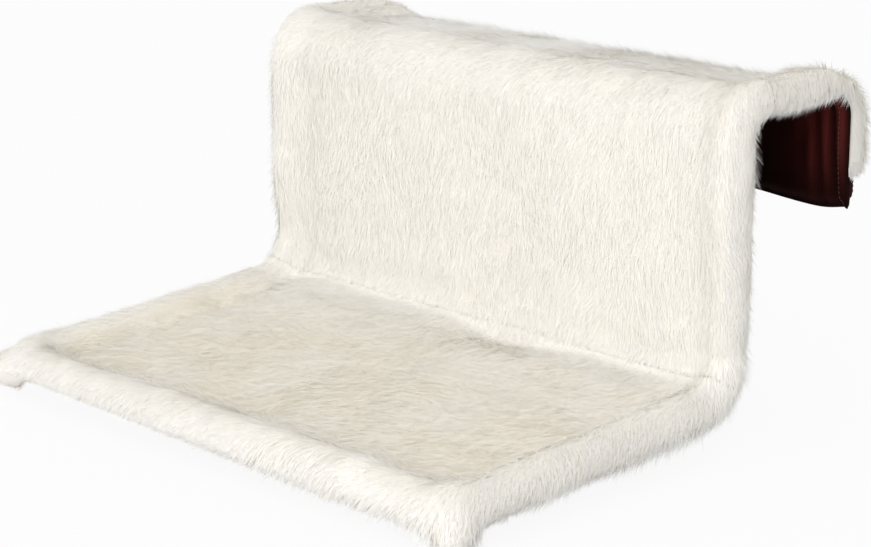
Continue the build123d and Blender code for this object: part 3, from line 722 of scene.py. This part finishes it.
def plush_field():
    """The plush body on a grid, with how far along the cover each grid point lies."""
    start = np.array(cad_box[0]) - FIELD_MARGIN
    counts = np.ceil((np.array(cad_box[1]) + FIELD_MARGIN - start) / VOXEL).astype(int)
    x, y, z = (start[axis] + VOXEL * np.arange(counts[axis]) for axis in range(3))
    flat_y, flat_z = np.meshgrid(y, z, indexing="ij")
    along, out, _ = cover_place(flat_y, flat_z)
    near_y, near_z = np.nonzero(np.abs(out) < FIELD_BAND)
    body = plush_body(x[:, None], along[near_y, near_z][None], out[near_y, near_z][None])
    near_x, column = np.nonzero(np.abs(body) < 4 * VOXEL)
    place = (x[near_x], y[near_y[column]], z[near_z[column]])
    beside_lining = out[near_y[column], near_z[column]] < LINING_NEAR + 0.002
    body[near_x, column] -= np.where(beside_lining, 0, plush_lumps(*place))
    body[near_x, column] = cut_screw_pockets(body[near_x, column], *place)
    field = np.full(tuple(counts), FAR_OUTSIDE, np.float32)
    field[:, near_y, near_z] = body
    return start, field, np.broadcast_to(along[None], field.shape)


def skin(field, start):
    """The closed surface where a field is 0: its points and four-sided faces, turned outwards."""
    grid = openvdb.FloatGrid(1.0)
    grid.copyFromArray(np.ascontiguousarray(np.clip(field, -SKIN_BAND, SKIN_BAND)))
    points, quads = grid.convertToQuads(isovalue=0.0)
    points = np.asarray(points, float) * VOXEL + start
    quads = np.asarray(quads, int)
    corner = points[quads]
    normals = np.cross(corner[:, 2] - corner[:, 0], corner[:, 3] - corner[:, 1])
    turned_in = np.einsum("ij,ij->i", corner.mean(1), normals).sum() < 0
    if turned_in:
        quads = quads[:, ::-1]
    return points, quads


# The plush bodies, one for each part of the cover: its name, where it runs and its CAD nodes
PLUSH_PIECES = (
    ("hook", HEM, HOOK_SEAM, ("hook_plush",)),
    ("arch", HOOK_SEAM, BACK_SEAM, ("arch_plush",)),
    ("back", BACK_SEAM, FOLD_MIDDLE, ("back_sleeve_left", "back_sleeve_right", "back_panel")),
    ("bed", FOLD_MIDDLE, PAST_BED, ("bed_panel", "bed_sleeve_left", "bed_sleeve_right", "front_sleeve")),
)


def settle(piece, part):
    """Joins a piece to the frame or to the hook, or leaves it joined to neither."""
    if part == "arch":
        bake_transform(piece)
    elif part == "hook":
        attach(piece, "hook")
    else:
        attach(piece, "frame")


def make_plush():
    start, field, along = plush_field()
    made = []
    for part, first, last, nodes in PLUSH_PIECES:
        ends = np.maximum(first + PIECE_GAP / 2 - along, along - last + PIECE_GAP / 2)
        part_field = np.maximum(field, ends)
        points, quads = skin(part_field, start)
        body = place_object(f"plush_{part}", mesh_from(f"plush_{part}", points, quads), BACKING)
        settle(body, part)
        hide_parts(*nodes)
        made.append((part, first, last, points, quads))
    return start, field, made


# The pile

# How far the strands lean from upright at the root and at the tip, in degrees
ROOT_LEAN = 80.5
TIP_LEAN = 88.5
# The share of strands that stand up, everywhere and besides where the pile is ruffled
STRAY_SHARE = 0.008
RUFFLED_SHARE = 0.27
# How far up a strand its middle lies, how wide it is there, and how deep its root is buried
MIDDLE_SHARE = 0.45
MIDDLE_WIDTH = 0.85
ROOT_DEPTH = 0.0004
# How much the strands of a lock and of a tuft are drawn together at most
LOCK_PULL = 0.1
TUFT_PULL = 0.16
# No strand grows in a lock screw's pocket or in a glide's room, nor this near to their edges
POCKET_INSIDE_TUBE = 0.0115
POCKET_BARE_HALF_WIDTH = 0.0105
POCKET_BARE_OUT = 0.0072
POCKET_EDGE = 0.002
GLIDE_EDGE = 0.0024


def pile_roots(points, quads, first, last, start, field, random):
    """Places for the strands on the outside of one plush body, with the skin's direction there."""
    triangles = np.concatenate([quads[:, [0, 1, 2]], quads[:, [0, 2, 3]]])
    corner = points[triangles]
    one_side = corner[:, 1] - corner[:, 0]
    other_side = corner[:, 2] - corner[:, 0]
    area = np.linalg.norm(np.cross(one_side, other_side), axis=1) / 2
    count = int(area.sum() * BLADES_PER_SQUARE_METRE)
    chosen = random.choice(len(triangles), count, p=area / area.sum())
    a, b = random.random((2, count))
    over = a + b > 1
    a, b = np.where(over, 1 - a, a), np.where(over, 1 - b, b)
    roots = corner[chosen, 0] + a[:, None] * one_side[chosen] + b[:, None] * other_side[chosen]
    slopes = [
        sample(field, start, roots + axis) - sample(field, start, roots - axis)
        for axis in VOXEL * 0.75 * np.eye(3)
    ]
    facing = unit(np.stack(slopes, axis=1))
    along, out, heading = cover_place(roots[:, 1], roots[:, 2])
    outside = outside_loop(roots[:, 0], along)
    outward = facing_out(facing, heading)
    in_pocket = np.abs(roots[:, 1] - POCKET_Y) < POCKET_HALF_LENGTH + POCKET_EDGE
    in_pocket &= np.abs(np.abs(roots[:, 0]) - SIDE_X + POCKET_INSIDE_TUBE) < POCKET_BARE_HALF_WIDTH
    in_pocket &= out < POCKET_BARE_OUT
    under_lining = ((outward < -0.5) & (outside < 0.0040)) | ((outward < 0.2) & (outside < 0.001))
    in_glide_room = np.hypot(outside, out) < GLIDE_ROOM_RADIUS + GLIDE_EDGE
    in_glide_room &= np.abs(along - BACK_SEAM) < GLIDE_ROOM_HALF_LENGTH + GLIDE_EDGE
    grows = ~under_lining & ~in_pocket & ~in_glide_room & (along > HEM + 0.001)
    grows &= (along > first + 2 * PIECE_GAP) & (along < last - 2 * PIECE_GAP)
    return roots[grows], facing[grows], along[grows], heading[grows]


def facing_out(facing, heading):
    """How much a direction points away from the tubes, square to the cloth."""
    return facing[:, 1] * np.sin(heading) - facing[:, 2] * np.cos(heading)


def tuft_pull(tips, mids, roots, size, random, most):
    """Draws the strands of each tuft together towards their middle."""
    shifts = [Lumps(size * 2.2, seed).at(*roots.T) for seed in (31, 32, 33)]
    warped = roots + 0.45 * size * np.stack(shifts, axis=1)
    cells = np.floor(warped / size).astype(int)
    cells -= cells.min(0)
    keys = (cells[:, 0] * MOST_CELLS + cells[:, 1]) * MOST_CELLS + cells[:, 2]
    names, tuft = np.unique(keys, return_inverse=True)
    counts = np.bincount(tuft)[:, None]
    pull = random.uniform(0, most, len(names))[tuft][:, None]
    drawn = []
    for part, share in ((tips, 1), (mids, MIDDLE_SHARE)):
        means = np.stack([np.bincount(tuft, part[:, axis]) for axis in range(3)], axis=1) / counts
        drawn.append(part + share * pull * (means[tuft] - part))
    return *drawn, random.random(len(names))[tuft]


def comb(roots, facing, along, heading, matted):
    """Which way the pile lies: down the back and forward on the bed, hanging where it can, with swirls."""
    x = roots[:, 0]
    zero = np.zeros(len(roots))
    down_cover = np.stack([zero, np.cos(heading), np.sin(heading)], axis=1)
    with_nap = np.interp(along, (HOOK_TOP, ARCH_REAR + 0.02, BACK_TOP, FOLD_START), (-0.1, 0.7, 0.8, 0.9))
    at_side = ease(np.abs(x), SIDE_X - 0.02, SIDE_X + 0.01)
    flow = (with_nap * (1 - 0.7 * matted))[:, None] * down_cover
    flow[:, 2] -= 0.55 + 0.9 * matted
    flow[:, 0] += 0.35 * at_side * np.sign(x)
    flow[:, 0] -= 0.8 * np.abs(np.cos(heading)) * ease(along, HOOK_TOP, ARCH_REAR + 0.02) * (1 - at_side)
    flow = flow - facing * np.einsum("ij,ij->i", flow, facing)[:, None]
    flow = unit(flow + 1e-5)
    swirl = 0.6 * Lumps(0.05, 21).at(*roots.T) + 0.35 * Lumps(0.02, 22).at(*roots.T)
    across = np.cross(facing, flow)
    return unit(flow * np.cos(swirl)[:, None] + across * np.sin(swirl)[:, None])


def matted_edge(x, facing, along):
    """Where longer tufts hang under the right half of the bed, most of all beside the fold."""
    low = ease(-facing[:, 2], -0.35, 0.5) * ease(x, 0.0, 0.16)
    beside_fold = hump(along, BED_START + 0.035, 0.075) * ease(x, SIDE_X - 0.01, SIDE_X)
    at_front = 0.7 * ease(along, COVER_LENGTH - 0.02, COVER_LENGTH)
    return low * np.maximum(beside_fold, at_front)


def ruffled_edge(x, facing, along):
    """Where handling has ruffled the pile: behind and under the rolls, over the hook, at the left side."""
    on_rolls = ease(outside_loop(x, along), -0.02, -0.004)
    to_rear = facing[:, 1]
    behind = np.maximum(ease(to_rear, 0.2, 0.7), ease(0.7 * (np.sign(x) * facing[:, 0] + to_rear), 0.7, 0.95))
    behind = behind * np.maximum(on_rolls, 1 - ease(along, ARCH_FRONT, ARCH_FRONT + 0.02))
    below = ease(-facing[:, 2], 0.45, 0.9) * (along > FOLD_START) * (0.2 + 0.5 * ease(x, -0.05, 0.1))
    at_left = ease(-0.7 * (facing[:, 0] + to_rear), 0.8, 1.0) * 0.7 * on_rolls
    on_top = ease(facing[:, 2], 0.85, 0.98) * (1 - ease(along, ARCH_REAR, ARCH_REAR + 0.03)) * 0.8
    on_top = on_top * ease(x, -0.19, -0.15)
    on_hook = 0.8 * (1 - ease(along, HOOK_TOP, HOOK_TOP + 0.02))
    return np.max([behind, below, at_left, on_top, on_hook], axis=0)


def strand_lengths(x, facing, along, heading, ruffle, matted, random):
    """How long the strands are: shorter on the hook and under the rolls, longer where they are matted."""
    length = PILE_LENGTH * random.uniform(0.7, 1.15, len(x)) * (0.85 + 0.3 * ruffle)
    length = length * np.interp(
        along, (HEM, 0.03, HOOK_TOP, ARCH_REAR, ARCH_REAR + 0.03), (0.55, 0.8, 0.9, 0.8, 1.0)
    )
    length = length * (1 - 0.45 * ease(-facing_out(facing, heading), 0.6, 0.95))
    length = length * (1 + 0.4 * matted)
    calm = ease(-facing[:, 2], -0.2, 0.4) * (1 - ease(x, -0.1, 0.08))
    length = length * (1 - 0.45 * calm * ease(along, COVER_LENGTH - 0.04, COVER_LENGTH - 0.01))
    length = length * (1 - 0.2 * stay(along, (HOOK_SEAM, ARCH_FRONT), (FOLD_START, BED_START)))
    at_left_hook = (1 - ease(x, -0.21, -0.18)) * (1 - ease(along, ARCH_REAR, ARCH_REAR + 0.03))
    return length * (1 - 0.35 * at_left_hook)


def leaning(facing, flow, degrees):
    """Directions that lean from upright on the skin towards the way that the pile lies."""
    lean = np.radians(degrees)
    return facing * np.cos(lean)[:, None] + flow * np.sin(lean)[:, None]


def strands(roots, facing, along, heading, random):
    """The middle and tip of each strand, and its tuft's tint."""
    count = len(roots)
    x = roots[:, 0]
    matted = matted_edge(x, facing, along)
    ruffled = ruffled_edge(x, facing, along)
    ruffle = 0.5 + 0.5 * Lumps(0.021, 23).at(*roots.T)
    flow = comb(roots, facing, along, heading, matted)
    flow = unit(flow + random.normal(0, 0.17, (count, 3)))
    length = strand_lengths(x, facing, along, heading, ruffle, matted, random)
    stray = random.random(count) < STRAY_SHARE + RUFFLED_SHARE * ruffled
    low_lean = ROOT_LEAN + 3 * ruffle + random.normal(0, 1, count) - 4 * ruffled
    first = leaning(facing, flow, low_lean - (24 + 10 * ruffled) * stray)
    high_lean = TIP_LEAN + 1.5 * ruffle + random.normal(0, 1, count)
    second = leaning(facing, flow, high_lean - (28 + 10 * ruffled) * stray)
    second[:, 2] -= 0.12
    mids = roots + first * (MIDDLE_SHARE * length)[:, None]
    tips = mids + unit(second) * ((1 - MIDDLE_SHARE) * length)[:, None]
    tips, mids, broad_tint = tuft_pull(tips, mids, roots, LOCK_SIZE, random, LOCK_PULL)
    tips, mids, small_tint = tuft_pull(tips, mids, roots, TUFT_SIZE, random, TUFT_PULL)
    tint = 0.45 * broad_tint + 0.3 * small_tint + 0.25 * random.random(count)
    on_bed = stay(along, (FOLD_START + 0.02, BED_START + 0.07), (COVER_LENGTH - 0.03, COVER_LENGTH - 0.01))
    on_bed *= 1 - ease(np.abs(x), SIDE_X - 0.02, SIDE_X)
    patches = 0.2 * Lumps(0.03, 24).at(*roots.T)
    tint = np.clip(0.70 + 0.2 * (tint - 0.5) - (0.54 - patches) * on_bed, 0, 1)
    return mids, tips, tint


def pile_mesh(name, roots, facing, mids, tips, tint, random):
    """Strands as thin blades that narrow to a point, each with its own small patch of the map."""
    count = len(roots)
    ahead = unit(mids - roots)
    twist = random.normal(0, 0.12, count)[:, None]
    side = unit(np.cross(ahead, facing) + 1e-6)
    side = unit(side * np.cos(twist) + np.cross(ahead, side) * np.sin(twist))
    wide = side * (BLADE_WIDTH / 2 * random.uniform(0.75, 1.25, count))[:, None]
    narrow = wide * MIDDLE_WIDTH
    buried = roots - facing * ROOT_DEPTH
    points = np.stack([buried - wide, buried + wide, mids + narrow, mids - narrow, tips], axis=1)
    base = (np.arange(count) * 5)[:, None]
    faces = np.concatenate([base + (0, 1, 2), base + (0, 2, 3), base + (3, 2, 4)], axis=1)
    mesh = mesh_from(name, points.reshape(-1, 3), faces.reshape(-1, 3))
    write_points(mesh, "root_to_tip", np.tile((0, 0, 0.55, 0.55, 1), count))
    write_points(mesh, "tuft_tint", np.repeat(tint, 5))
    write_points(mesh, "custom_normal", np.repeat(facing, 5, axis=0), "FLOAT_VECTOR")
    columns = math.ceil(math.sqrt(count))
    cell = np.stack([np.arange(count) % columns, np.arange(count) // columns], axis=1)
    patch = np.array([(0.12, 0.1), (0.88, 0.1), (0.82, 0.55), (0.18, 0.55), (0.5, 0.92)])
    places = (cell[:, None, :] + patch[[0, 1, 2, 0, 2, 3, 3, 2, 4]]) / columns
    uv = mesh.uv_layers.new(name="OFBake")
    uv.data.foreach_set("uv", places.astype(np.float32).ravel())
    return mesh


def make_pile(start, field, bodies):
    """Covers the plush bodies with strands, in strips from left to right, none of them under a lining."""
    for part, first, last, points, quads in bodies:
        random = np.random.default_rng(101 + len(part))
        roots, facing, along, heading = pile_roots(points, quads, first, last, start, field, random)
        mids, tips, tint = strands(roots, facing, along, heading, random)
        _, tip_out, _ = cover_place(tips[:, 1], tips[:, 2])
        clear = (outside_loop(roots[:, 0], along) > 0.001) | (tip_out > LINING_NEAR + 0.0005)
        grown = [values[clear] for values in (roots, facing, mids, tips, tint)]
        strips = math.ceil(clear.sum() / MOST_BLADES)
        order = np.argsort(grown[0][:, 0])
        for number, chosen in enumerate(np.array_split(order, strips)):
            name = f"pile_{part}_{number + 1}"
            pile = place_object(name, pile_mesh(name, *(values[chosen] for values in grown), random), PILE)
            settle(pile, part)


# The lining

LINING_CLOTH = 0.0012
LINING_MIDDLE = LINING_NEAR - LINING_CLOTH / 2 - CLOTH_GAP
LINING_EDGE = SIDE_X + 0.002
LINING_COLUMNS = 157
# The hook's loose fold: how far it hangs below the foot of the hook, and the bend at its tip
HOOK_DROP = 0.0150
HOOK_TIP = 0.0016
ZIP_ALONG = BED_CORNER + 0.058
ZIP_REAR_SEAM = ZIP_ALONG + 0.0222
# Openings in the linings: their sides from the middle, and where they start and end along the cover
ZIP_SLOT = (0, 0.181, ZIP_ALONG - 0.005, ZIP_ALONG + 0.005)
SCREW_WINDOW = (SIDE_X - 0.021, SIDE_X - 0.009, OVER_ORIGIN - 0.0259, OVER_ORIGIN + 0.0099)
TAPE_CLOTH = 0.0006
TAPE_HALF_LENGTH = 0.188
TAPE_REACH = 0.0125
TAPE_GAP = 0.0005
STITCH_LENGTH = 0.0026
STITCH_SPACING = 0.0036
STITCH_RADIUS = 0.0003
STITCH_SIDES = 6
# The rings of points round a stitch: how far along its half length, how thick and how high
STITCH_RINGS = ((-1, 0.4, -0.5), (-0.6, 1, 0.25), (0.6, 1, 0.25), (1, 0.4, -0.5))


def thick_sheet(name, upper, lower, kept):
    """A closed sheet between two grids of points, with openings where cells aren't kept."""
    rows, columns = upper.shape[:2]
    count = rows * columns
    index = np.arange(count).reshape(rows, columns)
    top = np.stack([index[:-1, :-1], index[1:, :-1], index[1:, 1:], index[:-1, 1:]], axis=-1)[kept]
    one = top.ravel()
    other = np.roll(top, -1, axis=1).ravel()
    open_edge = ~np.isin(one * count + other, other * count + one)
    one, other = one[open_edge], other[open_edge]
    sides = np.stack([one, one + count, other + count, other], axis=1)
    faces = np.concatenate([top, top[:, ::-1] + count, sides])
    used, faces = np.unique(faces, return_inverse=True)
    points = np.concatenate([upper.reshape(-1, 3), lower.reshape(-1, 3)])[used]
    return mesh_from(name, points, faces.reshape(-1, 4)), used


def lining_grids(x, along, out, thickness):
    """The hidden and the seen side of a lining through rows of places on the cover."""
    step_along = np.gradient(along, axis=0)
    step_out = np.gradient(out, axis=0)
    length = np.hypot(step_along, step_out)
    side_along = -step_out / length * thickness / 2
    side_out = step_along / length * thickness / 2
    near_y, near_z, _ = on_cover(along + side_along, out + side_out)
    far_y, far_z, _ = on_cover(along - side_along, out - side_out)
    return np.stack([x, near_y, near_z], axis=-1), np.stack([x, far_y, far_z], axis=-1)


def cloth_folds(x, along, seed, run):
    """Soft folds that run along the cloth more than across it, from 0 to 1."""
    flat = np.zeros(np.shape(x))
    broad = Lumps(0.03, seed).at(x, along * 0.3 - 0.2, flat)
    fine = Lumps(0.012, seed + 1).at(x, along * run - 0.2, flat)
    return 0.6 * np.abs(broad) + 0.4 * np.abs(fine)


def lining_width(along):
    """Half the width of the lining: rounded off at the front of the bed."""
    past = np.maximum(along - (COVER_LENGTH + 0.003 - FRONT_CORNER), 0)
    return LINING_EDGE - FRONT_CORNER + np.sqrt(np.maximum(FRONT_CORNER**2 - past**2, 0))


def spaced(first, last, count, marks):
    """Evenly spaced values, with the nearest ones moved onto the marks."""
    values = np.linspace(first, last, count)
    for mark in marks:
        values[np.argmin(np.abs(values - mark))] = mark
    return values


def flat_lining(first, last, rows, seed, depth, run, window=None):
    """The places of a piece of lining that lies under the plush, its folds and the cells it keeps."""
    low_x, high_x, first_cut, last_cut = window or (0, 0, 0, 0)
    marks = [side * edge / LINING_EDGE for side in (-1, 1) for edge in (low_x, high_x) if edge > 0]
    across = spaced(-1, 1, LINING_COLUMNS, marks)
    down = spaced(first, last, rows, (first_cut, last_cut) if window else ())
    along, share = np.meshgrid(down, across, indexing="ij")
    x = share * lining_width(along)
    at_zip = ease(np.abs(along - ZIP_ALONG), 0.02, 0.05)
    at_edge = ease(LINING_EDGE - np.abs(x), 0.0, 0.012)
    at_seam = ease(np.minimum(along - first, last - along), 0.0, 0.014)
    fold = at_zip * at_edge * at_seam * cloth_folds(x, along, seed, run)
    middle_x = np.abs(across[1:] + across[:-1]) / 2 * LINING_EDGE
    middle_along = (down[1:] + down[:-1]) / 2
    cut_x = (middle_x > low_x) & (middle_x < high_x)
    cut_along = (middle_along > first_cut) & (middle_along < last_cut)
    return x, along, LINING_MIDDLE - depth * fold, fold, ~(cut_along[:, None] & cut_x[None, :])


def hook_lining():
    """The hook's lining: up its outer face to the hem, down round the loose fold, and up inside."""
    x = np.linspace(-1, 1, LINING_COLUMNS) * LINING_EDGE
    near_end = ease(np.abs(x), SIDE_X - 0.035, SIDE_X)
    closed = ease(np.abs(x), SIDE_X - 0.0045, LINING_EDGE)
    drop = HOOK_DROP + 0.002 * np.sin(x * 38.0 + 0.4) - 0.003 * near_end**2
    inner = LINING_MIDDLE
    outer = -inner - closed * (-2 * inner - LINING_CLOTH - CLOTH_GAP)
    rows = []
    for step in np.linspace(0, 1, 16):
        height = HEM - 0.0003 - step * (HEM + drop - HOOK_TIP)
        low = ease(-height, 0.0045, drop - HOOK_TIP)
        rows.append((height, outer + (np.minimum(HOOK_TIP, outer) - outer) * low))
    bend = np.where(outer > HOOK_TIP, HOOK_TIP, 0.0006)
    middle = np.where(outer > HOOK_TIP, 0.0, (outer + inner) / 2)
    for angle in np.linspace(0, math.pi, 7)[1:-1]:
        rows.append((-drop + HOOK_TIP - HOOK_TIP * math.sin(angle), middle + bend * math.cos(angle)))
    for step in np.linspace(0, 1, 60):
        height = -drop + HOOK_TIP + step * (HOOK_SEAM - PIECE_GAP + drop - HOOK_TIP)
        low = ease(-height, 0.0045, drop - HOOK_TIP) * (1 - closed)
        rows.append((height, inner + (-HOOK_TIP - inner) * low))
    along, out = (np.array([np.broadcast_to(row[part], x.shape) for row in rows]) for part in (0, 1))
    x = np.broadcast_to(x, along.shape)
    inside = ease(-out, 0.0, 0.004)
    # Pleats near the ends of the hook; through the fold attribute their crests also take the suede's painted
    # highlight there, and the rest stays in painted shade
    ends = ease(np.abs(x), SIDE_X - 0.05, SIDE_X - 0.008) * ease(LINING_EDGE - np.abs(x), 0.0, 0.004)
    pleats = (0.5 - 0.5 * np.cos((np.abs(x) - 0.16) * 480 + 30 * along)) * ease(along, -0.02, 0.02)
    soft = cloth_folds(x, along, 47, 0.2)
    at_seam = ease(HOOK_SEAM - along, 0.0, 0.016)
    fold = at_seam * inside * np.clip(0.75 * ends * pleats + 0.6 * soft, 0, 1)
    return x, along, out - 0.0052 * fold, fold, np.ones((len(rows) - 1, LINING_COLUMNS - 1), bool)


def linings():
    """The four pieces of lining: the places, the folds and the cells of each."""
    bed = (ZIP_REAR_SEAM + PIECE_GAP, COVER_LENGTH + 0.0029)
    back = (BACK_SEAM + PIECE_GAP, ZIP_REAR_SEAM)
    arch = (HOOK_SEAM + PIECE_GAP, BACK_SEAM - PIECE_GAP)
    return {
        "bed": flat_lining(*bed, rows=60, seed=41, depth=0.0022, run=0.8),
        "back": flat_lining(*back, rows=110, seed=43, depth=0.0024, run=0.25, window=ZIP_SLOT),
        "arch": flat_lining(*arch, rows=28, seed=45, depth=0.0012, run=0.5, window=SCREW_WINDOW),
        "hook": hook_lining(),
    }


def evenly_along(points, others, spacing):
    """Places at even spacing along a line of points, with the same places on a second line."""
    steps = np.concatenate([[0], np.cumsum(np.linalg.norm(np.diff(points, axis=0), axis=1))])
    at = np.arange(spacing / 2, steps[-1], spacing)
    lines = (points, others)
    return [np.stack([np.interp(at, steps, values) for values in line.T], axis=1) for line in lines]


def stitch_parts(seen, hidden):
    """One row of stitches along a line on the seen side of a cloth."""
    places, under = evenly_along(seen, hidden, STITCH_SPACING)
    ahead = unit(np.gradient(places, axis=0))
    up = unit(places - under)
    side = unit(np.cross(ahead, up))
    points = []
    for step, size, rise in STITCH_RINGS:
        middle = places + ahead * step * STITCH_LENGTH / 2 + up * rise * STITCH_RADIUS
        for turn in np.arange(STITCH_SIDES) * math.tau / STITCH_SIDES:
            ring = side * math.cos(turn) + up * math.sin(turn)
            points.append(middle + ring * size * STITCH_RADIUS)
    return np.stack(points, axis=1)


def make_stitches(name, part, rows):
    """All the stitches of one piece as one mesh."""
    stitches = np.concatenate([stitch_parts(seen, hidden) for seen, hidden in rows])
    faces = []
    for low in range(0, 3 * STITCH_SIDES, STITCH_SIDES):
        for corner in range(STITCH_SIDES):
            after = (corner + 1) % STITCH_SIDES
            high = low + STITCH_SIDES
            faces.append((low + corner, low + after, high + after, high + corner))
    faces += [(3, 2, 1, 0), (5, 4, 3, 0), (18, 19, 20, 21), (18, 21, 22, 23)]
    base = (np.arange(len(stitches)) * stitches.shape[1])[:, None, None]
    mesh = mesh_from(name, stitches.reshape(-1, 3), (base + np.array(faces)).reshape(-1, 4))
    made = place_object(name, mesh, THREAD)
    settle(made, part)


def make_linings():
    for part, (x, along, out, fold, kept) in linings().items():
        near, far = lining_grids(x, along, out, LINING_CLOTH)
        name = f"lining_{part}"
        mesh, used = thick_sheet(name, far, near, kept)
        # Painted highlight: how much the fold crests are lit in colour, weak on the flat linings and
        # strongest high up inside the hook; the fold attribute carries it to the suede
        crest_highlight_share = fold * (np.interp(along, (0, 0.07), (0.7, 2.0)) if part == "hook" else 0.4)
        write_points(mesh, "fold", np.tile(crest_highlight_share.ravel(), 2)[used])
        cloth = place_object(name, mesh, SUEDE)
        settle(cloth, part)
        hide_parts(f"{part}_lining")
        rows = [(far[:, column], near[:, column]) for column in (2, -3)]
        rows += [(far[row, 2:-2], near[row, 2:-2]) for row in (2, -3)]
        make_stitches(f"stitches_{part}", part, rows)


def make_zip_tapes():
    """The two woven tapes that carry the teeth, sewn on round the slot in the lining."""
    half = TAPE_HALF_LENGTH
    x, share = np.meshgrid(np.linspace(-half, half, 95), np.linspace(0, 1, 7), indexing="xy")
    kept = np.ones((x.shape[0] - 1, x.shape[1] - 1), bool)
    rows = []
    for side, name in ((-1, "zip_tape_rear"), (1, "zip_tape_front")):
        along = ZIP_ALONG + side * (TAPE_GAP + share * (TAPE_REACH - TAPE_GAP))
        wave = 0.0003 * share**2 * (1 + np.sin(x * 170 + side))
        near, far = lining_grids(x, along, LINING_FAR - TAPE_CLOTH / 2 - CLOTH_GAP - wave, TAPE_CLOTH)
        mesh, _ = thick_sheet(name, far, near, kept)
        tape = place_object(name, mesh, TAPE)
        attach(tape, "frame")
        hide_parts("zip_tapes")
        rows += [(far[row], near[row])[::side] for row in (2, 5)]
    make_stitches("stitches_zip", "bed", rows)


def make_wadding():
    """The pad between the lining and the plush of the bed, thin at its edges."""
    inset = 0.001
    half = wadding_high.x - inset
    rows = np.linspace(WADDING_FIRST + inset, WADDING_LAST - inset, 70)
    along, x = np.meshgrid(rows, np.linspace(-half, half, 120), indexing="ij")
    base = LINING_NEAR + BACKING_UNDER
    loft = 0.0003 + (WADDING_LOFT - 0.0005) * wadding_cover(x, along)
    loft = loft * (0.93 + 0.07 * Lumps(0.02, 51).at(x, along - 0.4, np.zeros(x.shape)))
    grids = []
    for out in (base + 0 * loft, base + loft):
        y, z, _ = on_cover(along, out)
        grids.append(np.stack([x, y, z], axis=-1))
    kept = np.ones((x.shape[0] - 1, x.shape[1] - 1), bool)
    mesh, _ = thick_sheet("wadding_bed", grids[0], grids[1], kept)
    pad = place_object("wadding_bed", mesh, WADDING)
    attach(pad, "frame")
    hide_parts("bed_wadding")


# Hard parts and the zip keep their CAD shapes

def finish_hard_parts():
    for finish, nodes in HARD_FINISHES:
        material = grained_finish(*finish)
        for node in nodes:
            part = frame["nodes"][node]
            part.data.materials.clear()
            part.data.materials.append(material)


# Room, light and camera

CAMERA_PLACE = (1.219, -1.3355, 0.3298)
CAMERA_AZIMUTH = math.radians(45.2)
CAMERA_ELEVATION = math.radians(15.2)
CAMERA_LENS = 103.1
FLOOR_SIZE = 6.0
FLOOR_Z = cad_box[0].z - 0.002


def seen_directly(nodes, links):
    """1 where the camera sees a thing straight, mirrored or through something clear."""
    seen = nodes.new("ShaderNodeLightPath")
    either = math_node(nodes, links, "MAXIMUM", seen.outputs["Is Camera Ray"], seen.outputs["Is Glossy Ray"])
    return math_node(nodes, links, "MAXIMUM", either, seen.outputs["Is Transmission Ray"])


def mix_shaders(nodes, links, share, one, other, output):
    mixed = nodes.new("ShaderNodeMixShader")
    for socket, value in zip(mixed.inputs, (share, one.outputs[0], other.outputs[0])):
        links.new(value, socket)
    links.new(mixed.outputs[0], nodes[output].inputs["Surface"])


def make_floor():
    """A pale floor, almost white where the camera sees it."""
    corners = ((-1, -1), (1, -1), (1, 1), (-1, 1))
    points = [(FLOOR_SIZE * x, FLOOR_SIZE * y, FLOOR_Z) for x, y in corners]
    material, nodes, links, shader = new_material("pale_floor")
    set_inputs(shader, Base_Color=(0.7, 0.7, 0.7, 1), Roughness=0.8)
    glow = nodes.new("ShaderNodeEmission")
    set_inputs(glow, Strength=1.0)
    share = math_node(nodes, links, "MULTIPLY", seen_directly(nodes, links), 0.93)
    mix_shaders(nodes, links, share, shader, glow, "Material Output")
    floor = place_object("floor", mesh_from("floor", points, [(0, 1, 2, 3)]), material)


def make_world():
    """Even light all round, white where the camera sees it."""
    world = bpy.data.worlds.new("studio")
    bpy.context.scene.world = world
    world.use_nodes = True
    nodes = world.node_tree.nodes
    links = world.node_tree.links
    set_inputs(nodes["Background"], Color=(0.97, 0.98, 1.0, 1), Strength=0.92)
    white = nodes.new("ShaderNodeBackground")
    set_inputs(white, Strength=1.0)
    mix_shaders(nodes, links, seen_directly(nodes, links), nodes["Background"], white, "World Output")


def direction(azimuth, elevation):
    """The way to a place at these angles, in radians: azimuth runs from the front to the right."""
    across = math.sin(azimuth) * math.cos(elevation)
    return Vector((across, -math.cos(azimuth) * math.cos(elevation), math.sin(elevation)))


def aim(name, data, place, ahead, axis, up):
    """An object for a lamp or a camera, with one of its axes turned to point ahead."""
    holder = bpy.data.objects.new(name, data)
    holder.location = place
    holder.rotation_mode = "QUATERNION"
    holder.rotation_quaternion = ahead.to_track_quat(axis, up)
    bpy.context.scene.collection.objects.link(holder)
    return holder


def make_softbox(name, azimuth, elevation, distance, size, power):
    """A square soft lamp aimed at the middle of the hammock."""
    middle = (Vector(cad_box[0]) + Vector(cad_box[1])) / 2
    lamp = bpy.data.lights.new(name, "AREA")
    lamp.shape = "SQUARE"
    lamp.size = size
    lamp.energy = power
    back = direction(math.radians(azimuth), math.radians(elevation))
    aim(name, lamp, middle + back * distance, back, "Z", "Y")


def make_camera():
    data = bpy.data.cameras.new("camera")
    data.sensor_width = 36.0
    data.lens = CAMERA_LENS
    ahead = -direction(CAMERA_AZIMUTH, CAMERA_ELEVATION)
    bpy.context.scene.camera = aim("camera", data, CAMERA_PLACE, ahead, "-Z", "Y")


make_camera()
make_floor()
make_world()
make_softbox("key", azimuth=18, elevation=14, distance=2.2, size=1.4, power=21.3)
finish_hard_parts()
grid_start, plush_grid, plush_bodies = make_plush()
make_pile(grid_start, plush_grid, plush_bodies)
make_linings()
make_zip_tapes()
make_wadding()

bpy.context.scene.view_settings.view_transform = "Standard"
bpy.context.scene.cycles.diffuse_bounces = 8
